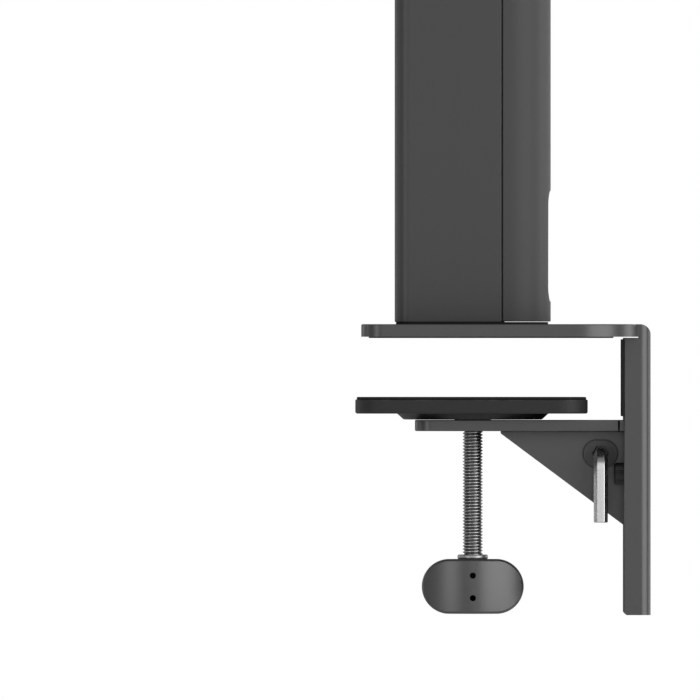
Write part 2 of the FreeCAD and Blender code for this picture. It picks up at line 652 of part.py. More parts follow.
circle(bore, "0", "0", "screw_size + 2 * pin_play")
pocket(lower, bore, "lower_thickness + 1")
holes = sketch(lower, "YZ_Plane", WEB_FRONT)
for side_sign in ("-", ""):
    circle(holes, f"{side_sign}bolt_spacing / 2", BOLT_HEIGHT, "bolt_size")
pocket(lower, holes, "lower_web_thickness + 1")
node(lower, "lower_bracket")

gussets = []
bolts = []
washers = []
grommets = []
for side_sign in ("-", ""):
    middle_plane = f"{side_sign}(gusset_spacing / 2)"
    gusset = body("gusset")
    side = sketch(gusset, "XZ_Plane", middle_plane)
    tip = f"({LOWER_WEB_FRONT} - gusset_reach)"
    polygon(side, [
        (tip, LOWER_UNDER), (LOWER_WEB_FRONT, LOWER_UNDER),
        (LOWER_WEB_FRONT, f"{LOWER_UNDER} - gusset_height"),
        (tip, f"{LOWER_UNDER} - gusset_nose")])
    pad(gusset, side, "gusset_thickness", symmetric=True)
    window = sketch(gusset, "XZ_Plane", middle_plane)
    circle(window, "key_reach", KEY_HEIGHT, "grommet_height - 2 * grommet_rim")
    pocket(gusset, window, "gusset_thickness + 1", symmetric=True)
    gussets.append(gusset)

    outward = side_sign + "y" if side_sign else "y"
    face = f"{side_sign}(gusset_spacing / 2 + gusset_thickness / 2)"
    half_span = "(grommet_length - grommet_height) / 2"
    flange_end = face if side_sign == "" else f"({face} - grommet_flange)"
    flange = fused([
        block(("grommet_length - grommet_height", "grommet_flange", "grommet_height"),
              (f"key_reach - {half_span}", flange_end, f"{KEY_HEIGHT} - grommet_height / 2")),
        rod("grommet_height", "grommet_flange", (f"key_reach - {half_span}", face, KEY_HEIGHT), outward),
        rod("grommet_height", "grommet_flange", (f"key_reach + {half_span}", face, KEY_HEIGHT), outward),
        rod("grommet_height - 2 * grommet_rim", "gusset_thickness", ("key_reach", face, KEY_HEIGHT),
            OPPOSITE[outward])])
    hole_start = ("key_reach", f"{face} {side_sign or '+'} 2 * grommet_flange", KEY_HEIGHT)
    grommets.append(cut(flange, hexagon("key_size + key_play", "4 * grommet_flange + 2 * gusset_thickness",
                                       hole_start, OPPOSITE[outward])))

    bolt_side = f"{side_sign}bolt_spacing / 2"
    washer_front = f"({LOWER_WEB_FRONT} - bolt_washer_thickness)"
    washers.append(tube(f"bolt_size * {COUNTERBORE_SHARE}", "bolt_size", "bolt_washer_thickness",
                        (washer_front, bolt_side, BOLT_HEIGHT), "x"))
    bolts.append(cap_screw("bolt_size", "lower_web_thickness + web_thickness + bolt_end",
                           f"bolt_size * {HEAD_SHARE}",
                           "bolt_size", (washer_front, bolt_side, BOLT_HEIGHT), "x"))
node(group(gussets), "gussets")
node(group(grommets), "key_grommets")
node(group(bolts), "bracket_bolts")
node(group(washers), "bolt_washers")

node(cut(hexagon("screw_size * 1.625", "nut_height", ("0", "0", LOWER_TOP)),
         rod("screw_size + 2 * pin_play", "nut_height", ("0", "0", LOWER_TOP))), "weld_nut")

# ---- clamp screw, collar, knob and pressure plate ----

TIP_TOP = f"({PRESS_TOP} - tip_depth)"
TIP_SIZE = "(screw_size - tip_step)"
SHANK_END = f"({KNOB_TOP} - shaft_depth)"
node(fused([
    rod("screw_size", f"{NUT_TOP} - {SHANK_END}", ("0", "0", SHANK_END)),
    rod(TIP_SIZE, f"{TIP_TOP} - {NUT_TOP}", ("0", "0", NUT_TOP))]), "clamp_screw")
node(tube("collar_size", "screw_size", "collar_height", ("0", "0", KNOB_TOP)), "screw_collar")
node(tube("screw_size * 1.5", TIP_SIZE, "tip_washer_thickness",
          ("0", "0", f"{PRESS_TOP} - tip_seat_depth + slide_gap")), "tip_washer")

press = body("pressure_plate")
outline = sketch(press, "XY_Plane", PRESS_UNDER)
rectangle(outline, "-press_front", "press_rear", "-press_width / 2", "press_width / 2")
pad(press, outline, "press_thickness")
fillet(press, "press_radius", lambda edge, middle, box: lies_along(edge, "z"))
fillet(press, "press_round", lambda edge, middle, box: flat_at(edge, box.ZMin))
profile = sketch(press, "XZ_Plane")
polygon(profile, [
    ("0", f"{PRESS_UNDER} - boss_height"), ("boss_size / 2 - boss_taper", f"{PRESS_UNDER} - boss_height"),
    ("boss_size / 2", PRESS_UNDER), ("boss_size / 2", f"{PRESS_UNDER} + 1"), ("0", f"{PRESS_UNDER} + 1")])
revolve(press, profile)
recess = sketch(press, "XY_Plane", f"{PRESS_UNDER} - boss_height")
circle(recess, "0", "0", "screw_size * 2.4")
pocket(press, recess, f"{RECESS_TOP} - {PRESS_UNDER} + boss_height", reverse=True)
neck = sketch(press, "XY_Plane", PRESS_TOP)
circle(neck, "0", "0", f"{TIP_SIZE} + 2 * pin_play")
pocket(press, neck, "press_thickness")
seat = sketch(press, "XY_Plane", PRESS_TOP)
circle(seat, "0", "0", "screw_size * 1.5 + 2")
pocket(press, seat, "tip_seat_depth")
node(press, "pressure_plate")

cushion = body("pressure_pad")
outline = sketch(cushion, "XY_Plane", PRESS_TOP)
rectangle(outline, "press_pad_inset - press_front", "press_rear - press_pad_inset",
          "press_pad_inset - press_width / 2", "press_width / 2 - press_pad_inset")
pad(cushion, outline, "press_pad_thickness")
fillet(cushion, "press_radius - press_pad_inset", lambda edge, middle, box: lies_along(edge, "z"))
node(cushion, "pressure_pad")

SET_SCREW_LENGTH = "(set_screw_size * 0.7)"
SET_SCREWS = [f"({KNOB_TOP} - set_screw_drop)", f"({KNOB_TOP} - set_screw_drop - set_screw_spacing)"]
knob = body("knob")
side = sketch(knob, "XZ_Plane")
rectangle(side, "-knob_length / 2", "knob_length / 2", f"{KNOB_TOP} - knob_height", KNOB_TOP)
pad(knob, side, "knob_thickness", symmetric=True)
fillet(knob, "knob_height / 2 - 0.05", lambda edge, middle, box: lies_along(edge, "y"))
fillet(knob, "knob_round", lambda edge, middle, box: on_side(edge, box.YMin) or on_side(edge, box.YMax))
shaft = sketch(knob, "XY_Plane", KNOB_TOP)
circle(shaft, "0", "0", "screw_size")
pocket(knob, shaft, f"{KNOB_TOP} - {SHANK_END}")
holes = sketch(knob, "XZ_Plane", "-knob_thickness / 2")
for level in SET_SCREWS:
    circle(holes, "0", level, "set_screw_size")
pocket(knob, holes, "(knob_thickness - screw_size) / 2")
node(knob, "knob")
set_screws = []
for level in SET_SCREWS:
    start = ("0", "-screw_size / 2", level)
    outer_end = moved(start, "-y", SET_SCREW_LENGTH)
    set_screws.append(cut(rod("set_screw_size", SET_SCREW_LENGTH, start, "-y"),
                          hexagon("set_screw_size * 0.5", "set_screw_size * 0.6", outer_end, "y")))
node(group(set_screws), "knob_set_screws")

# ---- hex key: the long leg lies across the gussets, the short leg hangs outside ----

KEY_BEND = "(key_size * 1.2)"
KEY_START = "(-(gusset_spacing + gusset_thickness) / 2 - grommet_flange - key_standoff)"
section = doc.addObject("Part::RegularPolygon", "key_section")
section.Polygon = 6
section.setExpression("Circumradius", linked("key_size / 2 / cos(30 deg)"))
stand(section, ("key_reach", KEY_START, KEY_HEIGHT), "y")
elbow_bend = doc.addObject("Part::Revolution", "key_bend")
elbow_bend.Source = section
elbow_bend.Axis = Vector(1, 0, 0)
elbow_bend.Solid = True
elbow_bend.Angle = 90
elbow_bend.setExpression("Base.y", linked(KEY_START))
elbow_bend.setExpression("Base.z", linked(f"{KEY_HEIGHT} - {KEY_BEND}"))
long_leg = hexagon("key_size", "key_length", ("key_reach", KEY_START, KEY_HEIGHT), "y")
short_leg = hexagon("key_size", f"key_drop - {KEY_BEND}",
                    ("key_reach", f"{KEY_START} - {KEY_BEND}", f"{KEY_HEIGHT} - {KEY_BEND}"), "-z")
node(fused([elbow_bend, long_leg, short_leg]), "hex_key")

# ---- column: foot gasket, extrusion, rear cable cover, head and screws ----

foot = body("column_foot")
outline = sketch(foot, "XY_Plane", PLATE_TOP)
rectangle(outline, f"{COLUMN_FRONT} + foot_inset", f"{COVER_REAR} - foot_rear_inset",
          "foot_inset - column_width / 2", "column_width / 2 - foot_inset")
pad(foot, outline, "foot_height")
fillet(foot, "column_radius - foot_inset", lambda edge, middle, box: lies_along(edge, "z") and middle.x < 0)
fillet(foot, "cover_radius - foot_rear_inset", lambda edge, middle, box: lies_along(edge, "z") and middle.x > 0)
holes = sketch(foot, "XY_Plane", COLUMN_FOOT)
for across, aside in ports:
    circle(holes, across, aside, "column_screw_size")
pocket(foot, holes, "foot_height + 1")
node(foot, "column_foot")

column = body("column_body")
outline = sketch(column, "XY_Plane", COLUMN_FOOT)
rectangle(outline, COLUMN_FRONT, COLUMN_REAR, "-column_width / 2", "column_width / 2")
pad(column, outline, "column_height")
fillet(column, "column_radius",
       lambda edge, middle, box: lies_along(edge, "z") and middle.x < box.XMin + 1)
hollow = sketch(column, "XY_Plane", COLUMN_TOP)
rectangle(hollow, f"{COLUMN_FRONT} + column_wall", f"{COLUMN_REAR} - column_wall",
          "column_wall - column_width / 2", "column_width / 2 - column_wall")
pocket(column, hollow, "column_height")
fillet(column, "column_radius - column_wall",
       lambda edge, middle, box: lies_along(edge, "z") and box.XMin + 1 < middle.x < 0
       and abs(middle.y) < box.YMax - 1)
bosses = sketch(column, "XY_Plane", COLUMN_FOOT)
bores = sketch(column, "XY_Plane", COLUMN_TOP)
for across, aside in ports:
    circle(bosses, across, aside, "screw_boss_size")
    circle(bores, across, aside, "column_screw_size")
pad(column, bosses, "column_height")
pocket(column, bores, "column_height")
land = sketch(column, "XY_Plane", COLUMN_FOOT)
rectangle(land, f"{COLUMN_REAR} - column_wall / 2", f"{COLUMN_REAR} + land_depth",
          "cover_wall + land_gap - column_width / 2", "column_width / 2 - cover_wall - land_gap")
pad(column, land, "column_height")
node(column, "column_body")


def crowned(drawing, front, inset):
    """Outline of the cover: straight front and sides, crowned rear."""
    first = drawing.GeometryCount
    half = sheet.column_width / 2
    depth = sheet.cover_depth
    radius = sheet.crown_radius
    points = [Vector(2, half, 0), Vector(2, -half, 0), Vector(depth, -half, 0), Vector(depth, half, 0)]
    for start, end in ((3, 0), (0, 1), (1, 2)):
        drawing.addGeometry(Part.LineSegment(points[start], points[end]), False)
    swing = math.asin(half / radius)
    centre = Vector(depth - radius * math.cos(swing), 0, 0)
    ring = Part.Circle(centre, Vector(0, 0, 1), radius)
    drawing.addGeometry(Part.ArcOfCircle(ring, -swing, swing), False)
    for one, two in ((0, 1), (1, 2)):
        drawing.addConstraint(Sketcher.Constraint("Coincident", first + one, 2, first + two, 1))
    drawing.addConstraint(Sketcher.Constraint("Coincident", first + 2, 2, first + 3, 1))
    drawing.addConstraint(Sketcher.Constraint("Coincident", first + 3, 2, first, 1))
    drawing.addConstraint(Sketcher.Constraint("PointOnObject", first + 3, 3, -1))
    drawing.addConstraint(Sketcher.Constraint("Horizontal", first))
    drawing.addConstraint(Sketcher.Constraint("Horizontal", first + 2))
    pin_point(drawing, first + 1, 1, front, f"column_width / 2 - {inset}")
    pin_point(drawing, first + 1, 2, front, f"{inset} - column_width / 2")
    number = drawing.addConstraint(Sketcher.Constraint("Radius", first + 3, radius))
    drawing.setExpression(f"Constraints[{number}]", linked(f"crown_radius - {inset}"))
    number = drawing.addConstraint(
        Sketcher.Constraint("DistanceX", -1, 1, first + 3, 3, centre.x))
    drawing.setExpression(f"Constraints[{number}]", linked(f"{COVER_REAR} - crown_radius"))


cover = body("rear_cable_cover")
outline = sketch(cover, "XY_Plane", f"{COLUMN_FOOT} + slide_gap")
crowned(outline, COVER_FRONT, "0")
pad(cover, outline, "column_height - 2 * slide_gap")
fillet(cover, "cover_radius",
       lambda edge, middle, box: lies_along(edge, "z") and abs(middle.y) > box.YMax - 1
       and middle.x > box.XMin + 1)
hollow = sketch(cover, "XY_Plane", f"{COLUMN_FOOT} - 1")
crowned(hollow, f"{COVER_FRONT} - 1", "cover_wall")
pocket(cover, hollow, "column_height + 2", reverse=True)
fillet(cover, "cover_radius - cover_wall",
       lambda edge, middle, box: lies_along(edge, "z") and box.YMax - 4 < abs(middle.y) < box.YMax - 1
       and middle.x > box.XMin + 1)
for foot_level in (f"({COLUMN_FOOT} + slot_rise)", f"({COLUMN_TOP} - slot_rise - slot_height)"):
    opening = sketch(cover, "YZ_Plane", f"{COVER_REAR} + 1")
    rectangle(opening, "-slot_width / 2", "slot_width / 2", foot_level, f"{foot_level} + slot_height")
    pocket(cover, opening, "cover_depth - 4")
fillet(cover, "slot_radius",
       lambda edge, middle, box: lies_along(edge, "x") and abs(middle.y) < box.YMax / 2)
node(cover, "rear_cable_cover")

screws = []
for across, aside in ports:
    screws.append(cap_screw("column_screw_size", "column_screw_length",
                            f"column_screw_size * {HEAD_SHARE}", "column_screw_head",
                            (across, aside, "(pad_thickness + counterbore_depth)"), "z"))
node(group(screws), "column_screws")

head = body("column_head")
outline = sketch(head, "XY_Plane", COLUMN_TOP)
rectangle(outline, COLUMN_FRONT, f"{COVER_REAR} - head_rear_inset", "-column_width / 2", "column_width / 2")
pad(head, outline, "head_height")
fillet(head, "column_radius", lambda edge, middle, box: lies_along(edge, "z") and middle.x < 0)
fillet(head, "cover_radius", lambda edge, middle, box: lies_along(edge, "z") and middle.x > 0)
fillet(head, "head_round", lambda edge, middle, box: flat_at(edge, box.ZMax))
boss = sketch(head, "XY_Plane", COLUMN_TOP)
circle(boss, SHOULDER, "0", "shoulder_post_size + 2 * socket_wall")
pad(head, boss, "socket_depth", reverse=True)
bore = sketch(head, "XY_Plane", HEAD_TOP)
circle(bore, SHOULDER, "0", "shoulder_post_size")
pocket(head, bore, "head_height + post_grip + thread_room")
through = sketch(head, "XY_Plane", HEAD_TOP)
sunk = sketch(head, "XY_Plane", HEAD_TOP)
for across, aside in ports:
    circle(through, across, aside, "column_screw_size")
    circle(sunk, across, aside, f"column_screw_size * {COUNTERBORE_SHARE}")
pocket(head, through, "head_height + 1")
pocket(head, sunk, "head_counterbore")
node(head, "column_head")

screws = []
for across, aside in ports:
    screws.append(cap_screw("column_screw_size", "head_screw_length",
                            f"column_screw_size * {HEAD_SHARE}", "head_screw_head",
                            (across, aside, f"({HEAD_TOP} - head_counterbore)"), "-z"))
node(group(screws), "head_screws")

# ---- shoulder ----

RETAINER_UNDER = f"({BUSH_TOP} + slide_gap)"
POST_FOOT = f"({COLUMN_TOP} - post_grip)"
node(cut(rod("shoulder_post_size", f"{RETAINER_UNDER} - {POST_FOOT}", (SHOULDER, "0", POST_FOOT)),
         rod("shoulder_screw_size", "shoulder_screw_length + thread_room",
             (SHOULDER, "0", RETAINER_UNDER), "-z")), "shoulder_post")
node(tube("shoulder_hub_size - 2 * washer_rim", "shoulder_post_size", "washer_thickness",
          (SHOULDER, "0", HEAD_TOP)), "shoulder_washer")
node(tube("shoulder_post_size + 2 * bush_wall", "shoulder_post_size + 2 * pin_play",
          f"{BUSH_TOP} - {LINK_UNDER}", (SHOULDER, "0", LINK_UNDER)), "shoulder_bush")
node(tube("shoulder_post_size + 2 * (bush_wall + retainer_rim)", "shoulder_screw_size",
          "retainer_thickness", (SHOULDER, "0", RETAINER_UNDER)),
     "shoulder_retainer")
node(cap_screw("shoulder_screw_size", "shoulder_screw_length", f"shoulder_screw_size * {HEAD_SHARE}",
               "shoulder_screw_head", (SHOULDER, "0", f"({RETAINER_UNDER} + retainer_thickness)"), "-z"),
     "shoulder_screw")

# ---- link arm ----

link = body("link_arm")
beam = sketch(link, "YZ_Plane", ELBOW)
rectangle(beam, "-beam_width / 2", "beam_width / 2", BEAM_UNDER, f"{BEAM_UNDER} + beam_height")
pad(link, beam, "link_length")
fillet(link, "beam_round", lambda edge, middle, box: lies_along(edge, "x"))
hubs = sketch(link, "XY_Plane", LINK_UNDER)
circle(hubs, SHOULDER, "0", "shoulder_hub_size")
circle(hubs, ELBOW, "0", "elbow_hub_size")
pad(link, hubs, "link_height")
fillet(link, "hub_round", lambda edge, middle, box: flat_at(edge, box.ZMax) or flat_at(edge, box.ZMin))
channel = sketch(link, "XY_Plane", BEAM_UNDER)
rectangle(channel, f"{ELBOW} + elbow_hub_size / 2 + hub_web",
          f"{SHOULDER} - shoulder_hub_size / 2 - hub_web",
          "-beam_channel_width / 2", "beam_channel_width / 2")
pocket(link, channel, "beam_channel_depth", reverse=True)
bores = sketch(link, "XY_Plane", LINK_TOP)
circle(bores, SHOULDER, "0", "shoulder_post_size + 2 * bush_wall")
circle(bores, ELBOW, "0", "elbow_post_size + 2 * bush_wall")
pocket(link, bores, "link_height + 1")
recess = sketch(link, "XY_Plane", LINK_TOP)
circle(recess, SHOULDER, "0", "shoulder_post_size + 2 * (bush_wall + recess_rim)")
pocket(link, recess, f"{LINK_TOP} - {BUSH_TOP}")
lid_seat = sketch(link, "XY_Plane", LINK_TOP)
circle(lid_seat, SHOULDER, "0", "shoulder_hub_size - 2 * cap_rim")
pocket(link, lid_seat, "cap_seat")
node(link, "link_arm")

lid = body("shoulder_cap")
outline = sketch(lid, "XY_Plane", f"{LINK_TOP} - cap_seat")
circle(outline, SHOULDER, "0", "shoulder_hub_size - 2 * (cap_rim + cap_play)")
pad(lid, outline, "cap_thickness")
fillet(lid, "cap_round", lambda edge, middle, box: flat_at(edge, box.ZMax))
node(lid, "shoulder_cap")

clips = []
for share in (0.3, 0.7):
    clip_start = f"({ELBOW} + link_length * {share} - clip_length / 2)"
    clips.append(fused([
        block(("clip_length", "beam_channel_width", "clip_floor"),
              (clip_start, "-beam_channel_width / 2", BEAM_UNDER)),
        block(("clip_length", "clip_wall", "clip_height"),
              (clip_start, "-beam_channel_width / 2", BEAM_UNDER)),
        block(("clip_length", "clip_wall", "clip_height"),
              (clip_start, "beam_channel_width / 2 - clip_wall", BEAM_UNDER))]))
node(group(clips), "link_cable_clips")

node(fused([
    tube("elbow_post_size + 2 * bush_wall", "elbow_post_size + 2 * pin_play", "link_height",
         (ELBOW, "0", LINK_UNDER)),
    tube("elbow_hub_size - 5", "elbow_post_size + 2 * pin_play", "washer_thickness",
         (ELBOW, "0", LINK_TOP))]), "elbow_bush")

# ---- elbow ----

EAR = "(pivot_pin_size + 2 * ear_wall)"
POST_UNDER = f"({LINK_UNDER} + post_cover)"
node(rod("elbow_post_size", f"{KNUCKLE_DISC_TOP} - post_cover - {POST_UNDER}",
         (ELBOW, "0", POST_UNDER)), "elbow_post")

knuckle = body("elbow_knuckle")
disc = sketch(knuckle, "XY_Plane", KNUCKLE_UNDER)
circle(disc, ELBOW, "0", "elbow_hub_size")
pad(knuckle, disc, f"{KNUCKLE_DISC_TOP} - {KNUCKLE_UNDER}")
fillet(knuckle, "disc_round", lambda edge, middle, box: flat_at(edge, box.ZMax) or flat_at(edge, box.ZMin))
side = sketch(knuckle, "XZ_Plane")
polygon(side, [
    (f"{REAR_PIVOT} - {EAR} / 2", LOWER_PIVOT), (f"{REAR_PIVOT} + 1.5", f"{KNUCKLE_DISC_TOP} - 1"),
    (f"{ELBOW} + knuckle_back", f"{KNUCKLE_DISC_TOP} - 1"),
    (f"{ELBOW} + knuckle_back", f"{LOWER_PIVOT} + adjuster_drop"),
    (f"{REAR_PIVOT} + {EAR} / 2", f"{UPPER_PIVOT} - 5"), (f"{REAR_PIVOT} + {EAR} / 2", UPPER_PIVOT),
    (f"{REAR_PIVOT} - {EAR} / 2", UPPER_PIVOT)])
pad(knuckle, side, "knuckle_width", symmetric=True)
ears = sketch(knuckle, "XZ_Plane")
circle(ears, REAR_PIVOT, UPPER_PIVOT, EAR)
pad(knuckle, ears, "knuckle_width", symmetric=True)
ears = sketch(knuckle, "XZ_Plane")
circle(ears, REAR_PIVOT, LOWER_PIVOT, EAR)
pad(knuckle, ears, "knuckle_width", symmetric=True)
fillet(knuckle, "knuckle_round", lambda edge, middle, box: lies_along(edge, "z") and middle.x > box.Center.x
       and middle.z > box.ZMin + 15)
fork = sketch(knuckle, "XZ_Plane")
rectangle(fork, f"{REAR_PIVOT} - {EAR}", f"{REAR_PIVOT} + {EAR} / 2 - 0.5",
          f"{LOWER_PIVOT} - {EAR}", f"{UPPER_PIVOT} + {EAR}")
pocket(knuckle, fork, "fork_gap", symmetric=True)
pins = sketch(knuckle, "XZ_Plane")
for level in (LOWER_PIVOT, SPRING_PIVOT, UPPER_PIVOT):
    circle(pins, REAR_PIVOT, level, "pivot_pin_size")
pocket(knuckle, pins, "knuckle_width + 2", symmetric=True)
bore = sketch(knuckle, "XY_Plane", KNUCKLE_UNDER)
circle(bore, ELBOW, "0", "elbow_post_size")
pocket(knuckle, bore, f"{KNUCKLE_DISC_TOP} - post_cover - {KNUCKLE_UNDER}", reverse=True)
ADJUSTER_HEIGHT = f"({LOWER_PIVOT} - adjuster_drop)"
adjuster = sketch(knuckle, "YZ_Plane", f"{ELBOW} + knuckle_back + 1")
circle(adjuster, "0", ADJUSTER_HEIGHT, "adjuster_size")
pocket(knuckle, adjuster, "adjuster_depth + 1")
node(knuckle, "elbow_knuckle")
ADJUSTER_START = (f"{ELBOW} + knuckle_back - adjuster_depth", "0", ADJUSTER_HEIGHT)
node(cut(rod("adjuster_size", "adjuster_length", ADJUSTER_START, "x"),
         hexagon("adjuster_size / 2", "adjuster_length * 0.55",
                 moved(ADJUSTER_START, "x", "adjuster_length"), "-x")), "tension_screw")


def rivet(across, level, span, head_size):
    """A pivot pin with a flat head on each end, outside the shell walls."""
    reach = f"(({span}) / 2 + slide_gap)"
    return fused([
        rod("pivot_pin_size", f"2 * {reach}", (across, f"-{reach}", level), "y"),
        rod(head_size, "rivet_head", (across, f"-{reach}", level), "-y"),
        rod(head_size, "rivet_head", (across, reach, level), "y")])


node(group([rivet(REAR_PIVOT, UPPER_PIVOT, "upper_shell_width", "pivot_pin_size + 2 * upper_rivet_rim"),
            rivet(REAR_PIVOT, LOWER_PIVOT, "lower_shell_width", "pivot_pin_size + 2 * lower_rivet_rim")]),
     "rear_pivot_pins")
node(rod("pivot_pin_size", "knuckle_width - 2", (REAR_PIVOT, "1 - knuckle_width / 2", SPRING_PIVOT), "y"),
     "spring_pin")

# ---- gas spring ----

TUBE_REAR = f"({REAR_PIVOT} - tube_setback)"
TUBE_FRONT = f"({REAR_PIVOT} - tube_reach)"
TUBE_BORE = "(spring_tube_size - 2 * tube_wall)"
EYE_SIZE = "(pivot_spacing - pivot_pin_size - eye_gap)"
node(cut(
    fused([
        rod(EYE_SIZE, "eye_width", (REAR_PIVOT, "-eye_width / 2", SPRING_PIVOT), "y"),
        rod("neck_size", "tube_setback - 4", (f"{REAR_PIVOT} - 5", "0", SPRING_PIVOT), "-x"),
        rod("spring_tube_size", f"{TUBE_REAR} - {TUBE_FRONT}", (TUBE_REAR, "0", SPRING_PIVOT), "-x")]),
    fused([
        rod("pivot_pin_size + 2 * pin_play", "eye_width + 2",
            (REAR_PIVOT, "-eye_width / 2 - 1", SPRING_PIVOT), "y"),
        rod(TUBE_BORE, f"{TUBE_REAR} - {TUBE_FRONT} - 2 * tube_end",
            (f"{TUBE_REAR} - tube_end", "0", SPRING_PIVOT), "-x"),
        rod("spring_rod_size + 2 * pin_play", "tube_end + 2",
            (f"{TUBE_FRONT} + tube_end + 1", "0", SPRING_PIVOT), "-x")])),
    "gas_spring_tube")
PISTON = f"({TUBE_FRONT} + piston_place)"
node(cut(
    fused([
        rod("spring_rod_size", f"{PISTON} - {ROD_EYE} - eye_width / 2", (PISTON, "0", SPRING_PIVOT), "-x"),
        rod(f"{TUBE_BORE} - slide_gap", "piston_length", (PISTON, "0", SPRING_PIVOT), "-x"),
        rod(EYE_SIZE, "eye_width", (ROD_EYE, "-eye_width / 2", SPRING_PIVOT), "y")]),
    rod("rod_pin_size + 2 * rod_eye_play", "eye_width + 2",
        (ROD_EYE, "-eye_width / 2 - 1", SPRING_PIVOT), "y")),
    "gas_spring_rod")

# ---- parallelogram arm: two shells, one inside the other ----

FAR_REAR = f"({REAR_PIVOT} + 30)"
FAR_FRONT = f"({FRONT_PIVOT} - 30)"


def shell(name, width, pivot, top):
    """A channel with rounded ends, open downwards (top True) or upwards."""
    part = body(name)
    section = sketch(part, "YZ_Plane", f"{FRONT_PIVOT} - shell_radius")
    rectangle(section, f"-{width} / 2", f"{width} / 2", f"{pivot} - shell_radius", f"{pivot} + shell_radius")
    pad(part, section, "arm_length + 2 * shell_radius")
    closed = (lambda middle, box: middle.z > box.ZMax - 0.1) if top else (
        lambda middle, box: middle.z < box.ZMin + 0.1)
    fillet(part, "shell_round", lambda edge, middle, box: lies_along(edge, "x") and closed(middle, box))
    fillet(part, "shell_radius - 0.05", lambda edge, middle, box: lies_along(edge, "y"))
    away, toward = ("-", "+") if top else ("+", "-")
    open_side = f"{pivot} {away} (shell_radius + 1)"
    skin = f"{pivot} {toward} (shell_radius - shell_wall)"
    shoulder = f"{pivot} {toward} (shell_radius - shell_wall - shell_bevel)"
    outside = f"{pivot} {toward} (shell_radius + 1)"
    inner = f"({width} / 2 - shell_wall)"
    cavity = sketch(part, "YZ_Plane", f"{FRONT_PIVOT} - shell_radius - 1")
    polygon(cavity, [
        (f"-{inner}", open_side), (inner, open_side), (inner, shoulder), (f"{inner} - shell_bevel", skin),
        (f"shell_bevel - {inner}", skin), (f"-{inner}", shoulder)])
    pocket(part, cavity, "arm_length + 2 * shell_radius + 2", reverse=True)
    front_end = f"{FRONT_PIVOT} + 2" if top else f"{FRONT_PIVOT} + 6"
    rear_end = f"{REAR_PIVOT} + 6" if top else f"{REAR_PIVOT} - 14"
    ends = sketch(part, "XZ_Plane")
    rectangle(ends, rear_end, FAR_REAR, pivot, outside)
    rectangle(ends, FAR_FRONT, front_end, pivot, outside)
    pocket(part, ends, f"2 * {inner}", symmetric=True)
    return part


upper = shell("upper_arm_shell", "upper_shell_width", UPPER_PIVOT, True)
holes = sketch(upper, "XZ_Plane")
for across in (REAR_PIVOT, FRONT_PIVOT):
    circle(holes, across, UPPER_PIVOT, "pivot_pin_size + 2 * pin_play")
pocket(upper, holes, "upper_shell_width + 2", symmetric=True)
node(upper, "upper_arm_shell")
lower_shell = shell("lower_arm_shell", "lower_shell_width", LOWER_PIVOT, False)
holes = sketch(lower_shell, "XZ_Plane")
for across in (REAR_PIVOT, FRONT_PIVOT):
    circle(holes, across, LOWER_PIVOT, "pivot_pin_size + 2 * pin_play")
pocket(lower_shell, holes, "lower_shell_width + 2", symmetric=True)
node(lower_shell, "lower_arm_shell")

# the rod's pin hangs from the upper shell's roof in a small fork, a little above the rod's line
ROD_PIN_HEIGHT = f"({SPRING_PIVOT} + rod_pin_lift)"
ROOF = f"({UPPER_PIVOT} + shell_radius - shell_wall)"
BRACKET_START = f"{ROD_EYE} - rod_pin_size / 2 - bracket_margin"
BRACKET_LENGTH = "rod_pin_size + 2 * bracket_margin"
ears = []
for side_start in ("-bracket_width / 2", "bracket_width / 2 - bracket_wall"):
    ears.append(block((BRACKET_LENGTH, "bracket_wall", f"{ROOF} - {ROD_PIN_HEIGHT} + 2 * bracket_margin"),
                      (BRACKET_START, side_start, f"{ROD_PIN_HEIGHT} - 2 * bracket_margin")))
bridge = block((BRACKET_LENGTH, "bracket_width", "bracket_roof"),
               (BRACKET_START, "-bracket_width / 2", f"{ROOF} - bracket_roof"))
pin_hole = rod("rod_pin_size", "bracket_width + 2",
               (ROD_EYE, "-bracket_width / 2 - 1", ROD_PIN_HEIGHT), "y")
node(cut(fused(ears + [bridge]), pin_hole), "spring_bracket")
node(rod("rod_pin_size", "bracket_width", (ROD_EYE, "-bracket_width / 2", ROD_PIN_HEIGHT), "y"), "rod_pin")

arm_clips = []
ARM_UNDER = f"({LOWER_PIVOT} - shell_radius)"
for share in (0.3, 0.66):
    clip_start = f"({FRONT_PIVOT} + arm_length * {share} - arm_clip_length / 2)"
    arm_clips.append(cut(
        block(("arm_clip_length", "arm_clip_width", "arm_clip_height"),
              (clip_start, "-arm_clip_width / 2", f"{ARM_UNDER} - arm_clip_height")),
        fused([
            block(("arm_clip_length + 2", "arm_clip_width - 2 * arm_clip_wall",
                   "arm_clip_height - arm_clip_wall - arm_clip_roof"),
                  (f"{clip_start} - 1", "arm_clip_wall - arm_clip_width / 2",
                   f"{ARM_UNDER} - arm_clip_height + arm_clip_wall")),
            block(("arm_clip_length + 2", "arm_clip_gap", "arm_clip_wall + 2"),
                  (f"{clip_start} - 1", "2", f"{ARM_UNDER} - arm_clip_height - 1"))])))
node(group(arm_clips), "arm_cable_clips")

# ---- front knuckle and pan bearing ----

